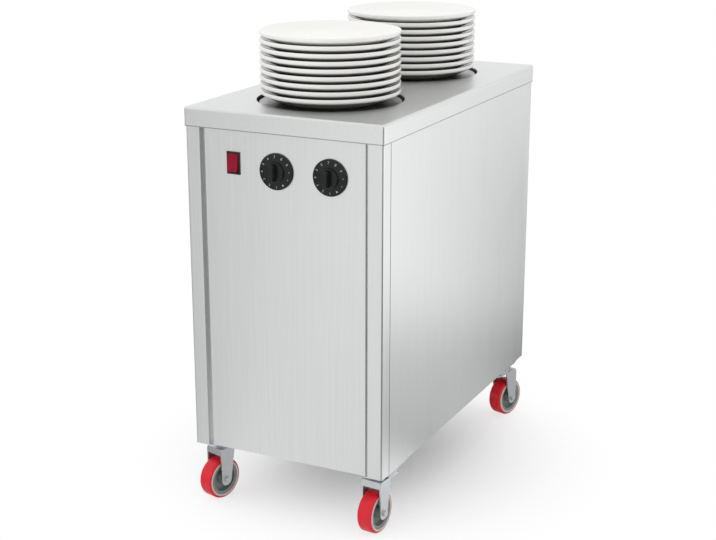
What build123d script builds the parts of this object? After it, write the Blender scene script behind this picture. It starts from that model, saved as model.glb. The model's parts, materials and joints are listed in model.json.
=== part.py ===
from build123d import *
import os

# Heated two-stack plate dispenser on swivel casters.
# Millimetres, +Z up, front towards -Y. The origin is on the floor, under the middle of the part's box.

# Plates
PLATE_DIAMETER = 290.0
PLATE_COUNT = 9
PLATE_FOOT_RADIUS = 100.0
PLATE_FOOT_WIDTH = 8.0
PLATE_FOOT_HEIGHT = 9.0
PLATE_FLOOR = 6.0
PLATE_RISE = 7.0  # floor to the inner edge of the rim
PLATE_RIM_WIDTH = 30.0
PLATE_RIM_SLOPE = 6.0  # how much the rim climbs to its edge
PLATE_RIM_THICKNESS = 6.5
PLATE_EDGE_ROUND = 2.8

# Wells and carriers
WELL_CLEARANCE = 8.0  # plate edge to well wall
WELL_WALL = 1.0
WELL_FLANGE = 12.0
SLOT_WIDTH = 12.0
SLOT_FOOT = 20.0  # closed ring of tube under the slots
SLOT_HEAD = 6.0  # slot above the arm at rest
STOP_GAP = 4.0  # arm above the slot's end at full stroke
PLATFORM_DROP = 5.5  # deck to platform at rest
PLATFORM_GAP = 6.0  # platform edge to well wall
PLATFORM_SHEET = 2.0
PLATFORM_SKIRT = 12.0
STRAP_INSET = 6.0  # platform edge to strap
STRAP_THICKNESS = 3.0
STRAP_WIDTH = 20.0
ARM_DROP = 135.0  # deck to arm at rest
ARM_WIDTH = 8.0
ARM_HEIGHT = 6.0
ARM_LIP = 2.0  # arm beyond the spring
SPRING_DIAMETER = 16.0
SPRING_WIRE = 2.0
SPRING_GAP = 4.0  # spring to tube
HANGER_DROP = 28.0
HANGER_SHEET = 3.0
HANGER_WIDTH = 20.0
HANGER_HEIGHT = 22.0
MIDDLE_GAP = 48.0  # between the arms of the two wells
HEATER_ROOM = 118.0  # cabinet bottom to the tubes

# Cabinet
BODY_HEIGHT = 728.0  # cabinet bottom to deck top
SIDE_ROOM = 66.0  # well tube to the cabinet's side
SHEET = 1.2
DECK_SHEET = 1.5
DECK_EDGE = 39.0
DECK_FIT = 0.8
DECK_BEND = 4.5
PAN_SHEET = 1.5
POST_WIDTH = 32.0
POST_DEPTH = 33.0
POST_RETURN = 20.0
LIP_DEPTH = 12.0
LIP_WIDTH = 22.0
CORNER_BEND = 4.0
GROOVE = 8.5
PANEL_RECESS = 6.0
SIDE_GROOVE = 2.0
SIDE_RETURN = 12.0
REAR_FLANGE = 25.0
REAR_POST = 30.0
REAR_POST_SHEET = 1.5
RAIL_MARGIN = 8.0  # caster bolt to the rail's edge
RAIL_GAP = 0.8  # rail to the side panel's front return
RAIL_HEIGHT = 4.0
SCREW_RADIUS = 2.0
SCREW_HEAD_RADIUS = 4.2
SCREW_HEAD = 2.4
SCREW_HEAD_ROUND = 1.2
SCREW_REACH = 8.0
SCREW_ROWS = 4
SCREW_END = 60.0  # first and last screw to the panel's ends
VENT_LENGTH = 60.0
VENT_WIDTH = 6.0
VENT_PITCH = 18.0
VENT_COUNT = 10
VENT_HEIGHT = 420.0

# Controls
CONTROL_DROP = 114.0  # deck to the controls' centre line
ROCKER_X = -113.0
ROCKER_RISE = 8.0  # rocker above the knobs' centre line
KNOB_X = (-15.0, 104.0)
KNOB_DIAMETER = 74.0
KNOB_GAP = 1.0
KNOB_SKIRT = 3.0
KNOB_DOME = 3.0  # skirt edge to the foot of the hub
KNOB_HUB_RADIUS = 21.0
KNOB_HUB = 5.0
KNOB_GRIP = 14.0
KNOB_GRIP_WIDTH = 12.0
KNOB_GRIP_LENGTH = 36.0
KNOB_GRIP_DRAFT = 4.0
KNOB_RECESS_RADIUS = 12.0
KNOB_RECESS = 8.0
SHAFT_RADIUS = 3.0
SHAFT_GRIP = 8.0  # shaft inside the knob
BUSH_RADIUS = 5.0
BUSH_REACH = 5.0
NUT_RADIUS = 8.0
NUT_HEIGHT = 3.0
THERMOSTAT_DEPTH = 26.0
THERMOSTAT_WIDTH = 40.0
THERMOSTAT_HEIGHT = 36.0
THERMOSTAT_GAP = 22.8
THERMOSTAT_BORE = 14.0  # depth of the shaft's bore behind the panel
CAPILLARY_RADIUS = 1.0
CAPILLARY_BEND = 9.0
CAPILLARY_DROP = 42.0
CAPILLARY_SIDE = 20.0  # capillary to the side panel
BULB_RADIUS = 3.0
BULB_LENGTH = 90.0
BULB_GAP = 0.2
BULB_ANGLES = (225.0, -45.0)  # round the front and the rear tube
BEZEL_WIDTH = 30.0
BEZEL_HEIGHT = 46.0
BEZEL_SHEET = 2.5
BEZEL_ROUND = 0.8
BEZEL_LAND = 1.4  # bezel beyond the panel's cut-out
SWITCH_WALL = 1.0
SWITCH_DEPTH = 22.0
SWITCH_FLOOR = 4.0
ROCKER_GAP = 0.5
ROCKER_END_GAP = 1.4
ROCKER_CROWN = 4.4
ROCKER_DIP = 2.6
ROCKER_BACK = 6.0
ROCKER_TILT = 8.0
PIVOT_RADIUS = 1.5
PIVOT_DEPTH = 5.0  # bezel face to the rocker's pivot

# Heaters, terminals and gland
HEATER_RADIUS = 4.25
HEATER_PITCH = 70.0
HEATER_LENGTH = 265.0
HEATER_HEIGHT = 50.0
STAND_SHEET = 3.0
STAND_INSET = 20.0
STAND_MARGIN = 12.0
TERMINAL_SIZE = (90.0, 34.0, 26.0)
TERMINAL_WAYS = 6
TERMINAL_SLOT = 3.0
TERMINAL_SIDE = 70.0  # terminal block's centre to the cabinet's side
GLAND_SIDE = 70.0  # gland's centre to the cabinet's side
GLAND_HEIGHT = 62.0
GLAND_RADIUS = 10.0
GLAND_NUT_RADIUS = 14.0
GLAND_NUT = 6.0
GLAND_REACH = 21.0
GLAND_CAP_RADIUS = 12.5
GLAND_CAP_ROUND = 6.0
GLAND_BORE = 4.5

# Casters
WHEEL_DIAMETER = 90.0
TYRE_WIDTH = 34.0
TYRE_THICKNESS = 9.0
TYRE_ROUND = 6.0
CORE_RIM = 7.0
CORE_WIDTH = 30.0
WEB = 9.0
HUB_RADIUS = 13.0
FORK_GAP = 40.0
FORK_SHEET = 3.0
FORK_BACK = 24.0  # crown behind the kingpin
FORK_BOSS = 14.0
FORK_LEG = 10.0  # kingpin to the leg's rear edge at the crown
FORK_CLEARANCE = 23.5
CROWN = 4.0
HOOD = 11.0  # lip in front of the crown, down towards the tyre
TRAIL = 35.0
AXLE_RADIUS = 4.0
AXLE_HEAD = 5.0
AXLE_HEAD_RADIUS = 7.5
KINGPIN_RADIUS = 6.0
KINGPIN_HEAD_RADIUS = 11.0
KINGPIN_HEAD = 6.0
RACE_RADIUS = 26.0
RACE_HEIGHT = 18.0
CASTER_PLATE = 4.2
CASTER_PLATE_SIZE = (67.0, 95.0)
CASTER_PLATE_CORNER = 9.0
CASTER_MARGIN = 1.5  # caster plate to the cabinet's side
BOLT_RADIUS = 4.0
BOLT_HOLE = 4.5
BOLT_HEAD_RADIUS = 7.2
BOLT_HEAD = 5.3
BOLT_EDGE = 10.0  # bolt to the caster plate's edge

# Fits
RUN_FIT = 0.05  # radial, a shaft that turns in its hole
RUN_GAP = 0.3  # between faces that pass each other
HOLE_FIT = 0.2  # radial, a fixed piece in its hole

# Places that follow from the sizes above
PLATE_PITCH = PLATE_FOOT_HEIGHT + PLATE_FLOOR
PLATE_RADIUS = PLATE_DIAMETER / 2
WELL_RADIUS = PLATE_RADIUS + WELL_CLEARANCE
TUBE_RADIUS = WELL_RADIUS + WELL_WALL
SPRING_AXIS = TUBE_RADIUS + SPRING_GAP + SPRING_DIAMETER / 2
ARM_END = SPRING_AXIS + SPRING_DIAMETER / 2 + ARM_LIP
WELL_SPACING = 2 * ARM_END + MIDDLE_GAP
END_ROOM = PANEL_RECESS + SHEET + THERMOSTAT_DEPTH + THERMOSTAT_GAP
HALF_WIDTH = TUBE_RADIUS + SIDE_ROOM
HALF_DEPTH = WELL_SPACING / 2 + TUBE_RADIUS + END_ROOM

KNOB_HEIGHT = KNOB_SKIRT + KNOB_DOME + KNOB_HUB + KNOB_GRIP
KNOB_OUT = KNOB_GAP + KNOB_HEIGHT - PANEL_RECESS
GLAND_OUT = GLAND_REACH - SHEET
MIDDLE_Y = (KNOB_OUT - GLAND_OUT) / 2
FRONT_Y = MIDDLE_Y - HALF_DEPTH
REAR_Y = MIDDLE_Y + HALF_DEPTH
PANEL_Y = FRONT_Y + PANEL_RECESS
PANEL_BACK_Y = PANEL_Y + SHEET
PANEL_HALF_WIDTH = HALF_WIDTH - POST_WIDTH - GROOVE

WHEEL_RADIUS = WHEEL_DIAMETER / 2
CORE_RADIUS = WHEEL_RADIUS - TYRE_THICKNESS
CROWN_LOW = WHEEL_DIAMETER + FORK_CLEARANCE
CROWN_TOP = CROWN_LOW + CROWN
RACE_LOW = CROWN_TOP + RUN_GAP
CASTER_PLATE_LOW = RACE_LOW + RACE_HEIGHT
CABINET_LOW = CASTER_PLATE_LOW + CASTER_PLATE
PAN_TOP = CABINET_LOW + PAN_SHEET
RAIL_TOP = PAN_TOP + RAIL_HEIGHT
CASTER_X = HALF_WIDTH - CASTER_PLATE_SIZE[0] / 2 - CASTER_MARGIN
BOLT_X = CASTER_PLATE_SIZE[0] / 2 - BOLT_EDGE
BOLT_Y = CASTER_PLATE_SIZE[1] / 2 - BOLT_EDGE
RAIL_WIDTH = 2 * (BOLT_Y + RAIL_MARGIN)
CASTER_Y = HALF_DEPTH - POST_DEPTH - SIDE_GROOVE - SHEET - RAIL_GAP - RAIL_WIDTH / 2

DECK_TOP = CABINET_LOW + BODY_HEIGHT
DECK_UNDER = DECK_TOP - DECK_SHEET
PANEL_TOP = DECK_UNDER - (DECK_BEND - DECK_SHEET)
DECK_OVERHANG = DECK_FIT + DECK_SHEET
TERMINAL_X = TERMINAL_SIDE - HALF_WIDTH
GLAND_X = GLAND_SIDE - HALF_WIDTH
CONTROL_Z = DECK_TOP - CONTROL_DROP
ROCKER_Z = CONTROL_Z + ROCKER_RISE
TUBE_LOW = CABINET_LOW + HEATER_ROOM
ARM_TOP = DECK_TOP - ARM_DROP
ARM_LOW = ARM_TOP - ARM_HEIGHT
SLOT_LOW = TUBE_LOW + SLOT_FOOT
STROKE = ARM_LOW - SLOT_LOW - STOP_GAP
PLATFORM_TOP = DECK_TOP - PLATFORM_DROP
PLATFORM_UNDER = PLATFORM_TOP - PLATFORM_SHEET
PLATFORM_RADIUS = WELL_RADIUS - PLATFORM_GAP
STRAP_OUT = PLATFORM_RADIUS - STRAP_INSET
STRAP_IN = STRAP_OUT - STRAP_THICKNESS
HANGER_UNDER = DECK_TOP - HANGER_DROP
HEATER_Z = PAN_TOP + HEATER_HEIGHT
ARM_ANGLES = (0, 90, 180)
WELLS = {
    "front": Pos(0, MIDDLE_Y - WELL_SPACING / 2, 0),
    "rear": Pos(0, MIDDLE_Y + WELL_SPACING / 2, 0) * Rot(0, 0, 180),
}
CASTERS = {
    "front_left": (-1, -1),
    "front_right": (1, -1),
    "rear_left": (-1, 1),
    "rear_right": (1, 1),
}
SWIVEL = {"front_left": -16.0, "front_right": -6.0, "rear_left": -6.0, "rear_right": -16.0}  # as the casters stand


def block(x, y, z):
    """A box between two limits along each axis."""
    size = (x[1] - x[0], y[1] - y[0], z[1] - z[0])
    return Pos((x[0] + x[1]) / 2, (y[0] + y[1]) / 2, (z[0] + z[1]) / 2) * Box(*size)


def rod(radius, low, high, x=0.0, y=0.0):
    """An upright cylinder between two heights."""
    return Pos(x, y, (low + high) / 2) * Cylinder(radius, high - low)


def hexagon(radius, low, high, x=0.0, y=0.0):
    """An upright hexagonal prism, as a nut or a bolt's head."""
    return Pos(x, y, low) * extrude(RegularPolygon(radius, 6), high - low)


def turned(points):
    """A solid of revolution about Z from (radius, height) points."""
    profile = Polyline(*[(r, 0, z) for r, z in points], close=True)
    return revolve(make_face(profile), Axis.Z)


def group(pieces):
    """Separate solids kept together in one node."""
    return Compound([solid for piece in pieces for solid in piece.solids()])


def round_upright(shape, radius, x, y):
    """Rounds the upright edge nearest to a place."""
    uprights = shape.edges().filter_by(Axis.Z)
    edge = min(uprights, key=lambda e: (e.center().X - x) ** 2 + (e.center().Y - y) ** 2)
    return fillet(edge, radius)


# Plates and carriers


def plate(foot_z):
    """One rimmed plate: foot ring, flat floor, rising wall and sloping rim with a rounded edge."""
    floor_top = foot_z + PLATE_PITCH
    rim_in = PLATE_RADIUS - PLATE_RIM_WIDTH
    rim_low = floor_top + PLATE_RISE
    edge_top = rim_low + PLATE_RIM_SLOPE
    foot_in = PLATE_FOOT_RADIUS - PLATE_FOOT_WIDTH
    under = foot_z + PLATE_FOOT_HEIGHT
    body = turned([
        (0, under),
        (foot_in, under),
        (foot_in, foot_z),
        (PLATE_FOOT_RADIUS, foot_z),
        (PLATE_FOOT_RADIUS, under),
        (rim_in, rim_low - PLATE_RIM_THICKNESS),
        (PLATE_RADIUS, edge_top - PLATE_RIM_THICKNESS),
        (PLATE_RADIUS, edge_top),
        (rim_in, rim_low),
        (PLATE_FOOT_RADIUS, floor_top),
        (0, floor_top),
    ])
    rings = body.edges().filter_by(GeomType.CIRCLE)
    return fillet(rings.group_by(SortBy.RADIUS)[-1], PLATE_EDGE_ROUND)


def plate_stack():
    return group([plate(PLATFORM_TOP + i * PLATE_PITCH) for i in range(PLATE_COUNT)])


def platform():
    """Round tray with a skirt, open below."""
    disc = rod(PLATFORM_RADIUS, PLATFORM_UNDER, PLATFORM_TOP)
    skirt_low = PLATFORM_UNDER - PLATFORM_SKIRT
    skirt = rod(PLATFORM_RADIUS, skirt_low, PLATFORM_UNDER)
    return disc + (skirt - rod(PLATFORM_RADIUS - PLATFORM_SHEET, skirt_low, PLATFORM_UNDER))


def carrier_brackets():
    """Three straps under the platform, each with an arm that reaches out through a slot."""
    half_strap, half_arm = STRAP_WIDTH / 2, ARM_WIDTH / 2
    strap = block((STRAP_IN, STRAP_OUT), (-half_strap, half_strap), (ARM_LOW, PLATFORM_UNDER))
    arm = block((STRAP_IN, ARM_END), (-half_arm, half_arm), (ARM_LOW, ARM_TOP))
    return group([Rot(0, 0, angle) * (strap + arm) for angle in ARM_ANGLES])


def carrier_springs():
    """Three close-wound extension springs, drawn as the tube that their touching coils make."""
    low = ARM_TOP + RUN_GAP
    outer = rod(SPRING_DIAMETER / 2, low, HANGER_UNDER, SPRING_AXIS)
    inner = rod(SPRING_DIAMETER / 2 - SPRING_WIRE, low, HANGER_UNDER, SPRING_AXIS)
    return group([Rot(0, 0, angle) * (outer - inner) for angle in ARM_ANGLES])


def spring_hangers():
    """Angle brackets on the tube that the springs hang from."""
    half = HANGER_WIDTH / 2
    lip = block((TUBE_RADIUS, ARM_END), (-half, half), (HANGER_UNDER, HANGER_UNDER + HANGER_SHEET))
    foot_z = (HANGER_UNDER, HANGER_UNDER + HANGER_HEIGHT)
    foot = block((TUBE_RADIUS, TUBE_RADIUS + HANGER_SHEET), (-half, half), foot_z)
    return group([Rot(0, 0, angle) * (lip + foot) for angle in ARM_ANGLES])


def well_tube():
    """Slotted tube with a flange under the deck."""
    flange = rod(TUBE_RADIUS + WELL_FLANGE, DECK_UNDER - SHEET, DECK_UNDER)
    tube = rod(TUBE_RADIUS, TUBE_LOW, DECK_UNDER) + flange - rod(WELL_RADIUS, TUBE_LOW, DECK_UNDER)
    half = SLOT_WIDTH / 2
    for angle in ARM_ANGLES:
        slot = block((0, ARM_END), (-half, half), (SLOT_LOW, ARM_TOP + SLOT_HEAD))
        tube -= Rot(0, 0, angle) * slot
    return tube


# Cabinet


def top_deck():
    """Folded tray, open below, with a round opening over each well."""
    x, y = HALF_WIDTH + DECK_OVERHANG, HALF_DEPTH + DECK_OVERHANG
    low = DECK_TOP - DECK_EDGE

    def tray(inset, top):
        shape = block((inset - x, x - inset), (MIDDLE_Y + inset - y, MIDDLE_Y + y - inset), (low, top))
        uprights = shape.edges().filter_by(Axis.Z)
        return fillet(uprights + shape.edges().group_by(Axis.Z)[-1], DECK_BEND - inset)

    deck = tray(0, DECK_TOP) - tray(DECK_SHEET, DECK_UNDER)
    for place in WELLS.values():
        deck -= place * rod(WELL_RADIUS, DECK_UNDER, DECK_TOP)
    return deck


def front_post(side):
    """Folded corner post: front face, side face, and a lip that closes the groove beside the front panel."""
    outer, inner = HALF_WIDTH, HALF_WIDTH - POST_WIDTH
    z = (PAN_TOP, PANEL_TOP)
    back = FRONT_Y + POST_DEPTH
    lip_y = FRONT_Y + LIP_DEPTH
    post = block((inner, outer), (FRONT_Y, FRONT_Y + SHEET), z)
    post += block((outer - SHEET, outer), (FRONT_Y, back), z)
    post += block((outer - POST_RETURN, outer), (back - SHEET, back), z)
    post += block((inner, inner + SHEET), (FRONT_Y, lip_y), z)
    post += block((inner - LIP_WIDTH, inner + SHEET), (lip_y - SHEET, lip_y), z)
    post = round_upright(post, CORNER_BEND, outer, FRONT_Y)
    post = round_upright(post, CORNER_BEND - SHEET, outer - SHEET, FRONT_Y + SHEET)
    return post if side > 0 else mirror(post, Plane.YZ)


def front_panel():
    """Flat panel between the posts, set back, down over the pan's edge, with returns that stand on the posts' lips."""
    half = PANEL_HALF_WIDTH
    panel = block((-half, half), (PANEL_Y, PANEL_BACK_Y), (CABINET_LOW, PANEL_TOP))
    lip_front = FRONT_Y + LIP_DEPTH - SHEET
    for x in ((-half, SHEET - half), (half - SHEET, half)):
        panel += block(x, (PANEL_Y, lip_front), (PAN_TOP, PANEL_TOP))
    cut_x, cut_z = BEZEL_WIDTH / 2 - BEZEL_LAND, BEZEL_HEIGHT / 2 - BEZEL_LAND
    panel -= block(
        (ROCKER_X - cut_x, ROCKER_X + cut_x), (PANEL_Y, PANEL_BACK_Y), (ROCKER_Z - cut_z, ROCKER_Z + cut_z)
    )
    for x in KNOB_X:
        panel -= control(x) * rod(BUSH_RADIUS + HOLE_FIT, -SHEET, 0)
    return panel


def screw_heights():
    low, high = PAN_TOP + SCREW_END, PANEL_TOP - SCREW_END
    return [low + i * (high - low) / (SCREW_ROWS - 1) for i in range(SCREW_ROWS)]


def screw_holes(side):
    """Clearance cylinders of the screws along one rear flange."""
    x = side * (HALF_WIDTH - REAR_FLANGE / 2)
    hole = Rot(90, 0, 0) * rod(SCREW_RADIUS + HOLE_FIT, -SCREW_REACH, SCREW_REACH)
    return [Pos(x, REAR_Y, z) * hole for z in screw_heights()]


def side_panel(side):
    """Side sheet with a folded front return and a rear flange."""
    z = (PAN_TOP, PANEL_TOP)
    front = FRONT_Y + POST_DEPTH + SIDE_GROOVE
    panel = block((HALF_WIDTH - SHEET, HALF_WIDTH), (front, REAR_Y), z)
    panel += block((HALF_WIDTH - SIDE_RETURN, HALF_WIDTH), (front, front + SHEET), z)
    panel += block((HALF_WIDTH - REAR_FLANGE, HALF_WIDTH), (REAR_Y - SHEET, REAR_Y), z)
    panel = round_upright(panel, CORNER_BEND, HALF_WIDTH, REAR_Y)
    panel = round_upright(panel, CORNER_BEND - SHEET, HALF_WIDTH - SHEET, REAR_Y - SHEET)
    panel = panel if side > 0 else mirror(panel, Plane.YZ)
    for hole in screw_holes(side):
        panel -= hole
    return panel


def rear_panel():
    """Rear sheet behind the side panels' flanges, with vent slots and the cable gland's hole."""
    half = HALF_WIDTH - CORNER_BEND
    back = REAR_Y - SHEET
    panel = block((-half, half), (back - SHEET, back), (PAN_TOP, PANEL_TOP))
    for hole in screw_holes(-1) + screw_holes(1):
        panel -= hole
    panel -= gland_place() * rod(GLAND_RADIUS + HOLE_FIT, -SHEET, 0)
    vent_z = PAN_TOP + VENT_HEIGHT
    for i in range(VENT_COUNT):
        x = (i - (VENT_COUNT - 1) / 2) * VENT_PITCH
        face = Plane(origin=(x, back, vent_z), x_dir=(0, 0, 1), z_dir=(0, -1, 0))
        panel -= extrude(face * SlotOverall(VENT_LENGTH, VENT_WIDTH), SHEET)
    return panel


def rear_post(side):
    """Angle in a rear corner, from the pan up to the deck."""
    out, rear = HALF_WIDTH - CORNER_BEND, REAR_Y - 2 * SHEET
    z = (PAN_TOP, DECK_UNDER)
    post = block((out - REAR_POST, out), (rear - REAR_POST_SHEET, rear), z)
    post += block((out - REAR_POST_SHEET, out), (rear - REAR_POST, rear), z)
    post = post if side > 0 else mirror(post, Plane.YZ)
    for hole in screw_holes(side):
        post -= hole
    return post


def rear_screws():
    """Screws with domed heads that hold the rear panel between the flanges and the rear posts."""
    pieces = []
    for side in (-1, 1):
        x = side * (HALF_WIDTH - REAR_FLANGE / 2)
        for z in screw_heights():
            head = rod(SCREW_HEAD_RADIUS, -SCREW_HEAD, 0)
            head = fillet(head.edges().group_by(Axis.Z)[0], SCREW_HEAD_ROUND)
            shank = rod(SCREW_RADIUS, 0, SCREW_REACH)
            pieces.append(Pos(x, REAR_Y, z) * Rot(90, 0, 0) * (head + shank))
    return group(pieces)


def bolt_places():
    """Centres of the caster bolts on one caster plate."""
    return [(x, y) for x in (-BOLT_X, BOLT_X) for y in (-BOLT_Y, BOLT_Y)]


def caster_place(name):
    side, end = CASTERS[name]
    return Pos(side * CASTER_X, MIDDLE_Y + end * CASTER_Y, 0)


def bolt_holes(names):
    return [
        caster_place(name) * rod(BOLT_HOLE, CASTER_PLATE_LOW, RAIL_TOP, x, y)
        for name in names
        for x, y in bolt_places()
    ]


def base_pan():
    pan = block((-HALF_WIDTH, HALF_WIDTH), (FRONT_Y, REAR_Y), (CABINET_LOW, PAN_TOP))
    pan = fillet(pan.edges().filter_by(Axis.Z), CORNER_BEND)
    pan -= block((-PANEL_HALF_WIDTH, PANEL_HALF_WIDTH), (FRONT_Y, PANEL_BACK_Y), (CABINET_LOW, PAN_TOP))
    for hole in bolt_holes(CASTERS):
        pan -= hole
    return pan


def base_rail(end):
    """Flat bar across the pan that the casters bolt to."""
    names = [name for name in CASTERS if CASTERS[name][1] == end]
    y = MIDDLE_Y + end * CASTER_Y
    half = HALF_WIDTH - SHEET
    rail = block((-half, half), (y - RAIL_WIDTH / 2, y + RAIL_WIDTH / 2), (PAN_TOP, RAIL_TOP))
    for hole in bolt_holes(names):
        rail -= hole
    return rail


# Controls


def control(x, z=CONTROL_Z):
    """A place on the front panel's face whose own Z points out of the panel."""
    return Pos(x, PANEL_Y, z) * Rot(90, 0, 0)


def knob(x):
    """Skirted knob with a raised grip across it, hollow behind for the fixing nut."""
    radius = KNOB_DIAMETER / 2
    skirt = KNOB_GAP + KNOB_SKIRT
    dome = skirt + KNOB_DOME
    hub = dome + KNOB_HUB
    body = turned([(0, KNOB_GAP), (radius, KNOB_GAP), (radius, skirt), (KNOB_HUB_RADIUS, dome), (0, dome)])
    body += Pos(0, 0, dome) * extrude(Circle(KNOB_HUB_RADIUS), KNOB_HUB, taper=KNOB_GRIP_DRAFT)
    grip = SlotOverall(KNOB_GRIP_LENGTH, KNOB_GRIP_WIDTH)
    body += Pos(0, 0, hub) * extrude(Rot(0, 0, 90) * grip, KNOB_GRIP, taper=KNOB_GRIP_DRAFT)
    body -= rod(KNOB_RECESS_RADIUS, KNOB_GAP, KNOB_GAP + KNOB_RECESS)
    body -= rod(SHAFT_RADIUS, KNOB_GAP, KNOB_GAP + KNOB_RECESS + SHAFT_GRIP)
    return control(x) * body


def thermostat_shaft(x):
    return control(x) * rod(SHAFT_RADIUS, -SHEET - THERMOSTAT_BORE, KNOB_GAP + KNOB_RECESS + SHAFT_GRIP)


def thermostat(x):
    """Thermostat body behind the panel, with a bush that passes through it."""
    back = -SHEET - THERMOSTAT_DEPTH
    half_w, half_h = THERMOSTAT_WIDTH / 2, THERMOSTAT_HEIGHT / 2
    body = block((-half_w, half_w), (-half_h, half_h), (back, -SHEET))
    body += rod(BUSH_RADIUS, -SHEET, BUSH_REACH)
    body -= rod(SHAFT_RADIUS + RUN_FIT, -SHEET - THERMOSTAT_BORE, BUSH_REACH)
    return control(x) * body


def thermostat_nuts():
    nut = hexagon(NUT_RADIUS, 0, NUT_HEIGHT) - rod(BUSH_RADIUS, 0, NUT_HEIGHT)
    return group([control(x) * nut for x in KNOB_X])


def bulb_place(end, angle):
    """Where a sensing bulb stands against the outside of a well's tube."""
    well = MIDDLE_Y + end * WELL_SPACING / 2
    return Vector(0, well, 0) + Vector(TUBE_RADIUS + BULB_RADIUS + BULB_GAP, 0, 0).rotate(Axis.Z, angle)


def capillary(points):
    """Thin tube from a thermostat along its route, ending in a bulb that hangs below the last point."""
    path = FilletPolyline(*points, radius=CAPILLARY_BEND)
    start = Plane(origin=path @ 0, z_dir=path % 0)
    tube = sweep(start * Circle(CAPILLARY_RADIUS), path=path)
    end = Vector(points[-1])
    return tube + rod(BULB_RADIUS, end.Z - BULB_LENGTH, end.Z, end.X, end.Y)


def capillary_routes():
    """The front well's capillary goes straight to its bulb, the rear well's along the right side."""
    y = PANEL_BACK_Y + THERMOSTAT_DEPTH / 2
    top = CONTROL_Z - THERMOSTAT_HEIGHT / 2
    low = top - CAPILLARY_DROP
    end = low - 2 * CAPILLARY_BEND
    side = HALF_WIDTH - SHEET - CAPILLARY_SIDE
    front, rear = bulb_place(-1, BULB_ANGLES[0]), bulb_place(1, BULB_ANGLES[1])
    turn_y = FRONT_Y + 2 * POST_DEPTH
    return {
        "front": [
            (KNOB_X[0], y, top), (KNOB_X[0], y, low), (front.X, y, low), (front.X, front.Y, low),
            (front.X, front.Y, end),
        ],
        "rear": [
            (KNOB_X[1], y, top), (KNOB_X[1], y, low), (side, turn_y, low), (side, rear.Y, low),
            (rear.X, rear.Y, low), (rear.X, rear.Y, end),
        ],
    }


def switch_housing():
    """Bezel on the panel's face and a box behind it, with a pocket and pivot holes for the rocker."""
    half_w, half_h = BEZEL_WIDTH / 2, BEZEL_HEIGHT / 2
    box_w, box_h = half_w - BEZEL_LAND - HOLE_FIT, half_h - BEZEL_LAND - HOLE_FIT
    bezel = block((-half_w, half_w), (-half_h, half_h), (0, BEZEL_SHEET))
    bezel = fillet(bezel.edges().group_by(Axis.Z)[-1], BEZEL_ROUND)
    body = bezel + block((-box_w, box_w), (-box_h, box_h), (-SWITCH_DEPTH, 0))
    pocket_w, pocket_h = box_w - SWITCH_WALL, box_h - SWITCH_WALL
    body -= block((-pocket_w, pocket_w), (-pocket_h, pocket_h), (SWITCH_FLOOR - SWITCH_DEPTH, BEZEL_SHEET))
    pin = Pos(0, 0, BEZEL_SHEET - PIVOT_DEPTH) * Rot(0, 90, 0) * Cylinder(PIVOT_RADIUS + RUN_FIT, 2 * box_w)
    return control(ROCKER_X, ROCKER_Z) * (body - pin)


def rocker():
    """Rocker with two faces that meet in a shallow dip, on pivot pins, tipped to one side."""
    pocket_w = BEZEL_WIDTH / 2 - BEZEL_LAND - HOLE_FIT - SWITCH_WALL
    pocket_h = BEZEL_HEIGHT / 2 - BEZEL_LAND - HOLE_FIT - SWITCH_WALL
    half_w, half_h = pocket_w - ROCKER_GAP, pocket_h - ROCKER_END_GAP
    face = PIVOT_DEPTH
    outline = Polyline(
        (0, half_h, face + ROCKER_CROWN),
        (0, 0, face + ROCKER_DIP),
        (0, -half_h, face + ROCKER_CROWN),
        (0, -half_h, 0),
        (0, -half_h / 2, -ROCKER_BACK),
        (0, half_h / 2, -ROCKER_BACK),
        (0, half_h, 0),
        close=True,
    )
    body = extrude(make_face(outline), half_w, dir=(1, 0, 0), both=True)
    body += Rot(0, 90, 0) * Cylinder(PIVOT_RADIUS, 2 * (pocket_w + SWITCH_WALL))
    place = control(ROCKER_X, ROCKER_Z) * Pos(0, 0, BEZEL_SHEET - PIVOT_DEPTH)
    return place * Rot(-ROCKER_TILT, 0, 0) * body


# Heaters, terminals and gland


def heater():
    """Hairpin tubular element lying across the cabinet under a well."""
    half, bend = HEATER_LENGTH / 2, HEATER_PITCH / 2
    legs = Line((-half, -bend, HEATER_Z), (half - bend, -bend, HEATER_Z))
    turn = CenterArc((half - bend, 0, HEATER_Z), bend, -90, 180)
    back = Line((half - bend, bend, HEATER_Z), (-half, bend, HEATER_Z))
    path = Wire([legs.edge(), turn.edge(), back.edge()])
    return sweep(Plane(origin=path @ 0, z_dir=path % 0) * Circle(HEATER_RADIUS), path=path)


def heater_stands():
    """Upright plates on the pan that hold each heater at both ends."""
    half = HEATER_LENGTH / 2 - STAND_INSET
    reach = HEATER_PITCH / 2 + STAND_MARGIN
    pieces = []
    for place in WELLS.values():
        for x in (-half, half - HEATER_PITCH / 2):
            stand = block(
                (x, x + STAND_SHEET), (-reach, reach), (PAN_TOP, HEATER_Z + STAND_MARGIN)
            )
            for y in (-HEATER_PITCH / 2, HEATER_PITCH / 2):
                hole = Pos(x, y, HEATER_Z) * Rot(0, 90, 0) * rod(HEATER_RADIUS + HOLE_FIT, 0, STAND_SHEET)
                stand -= hole
            pieces.append(place * stand)
    return group(pieces)


def terminal_block():
    """Block of screw terminals on the pan, with a slot between the ways."""
    length, width, height = TERMINAL_SIZE
    body = block((-width / 2, width / 2), (-length / 2, length / 2), (PAN_TOP, PAN_TOP + height))
    for i in range(1, TERMINAL_WAYS):
        y = i * length / TERMINAL_WAYS - length / 2
        cut = block(
            (-width / 2, width / 2),
            (y - TERMINAL_SLOT / 2, y + TERMINAL_SLOT / 2),
            (PAN_TOP + height / 2, PAN_TOP + height),
        )
        body -= cut
    return Pos(TERMINAL_X, MIDDLE_Y, 0) * body


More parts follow.
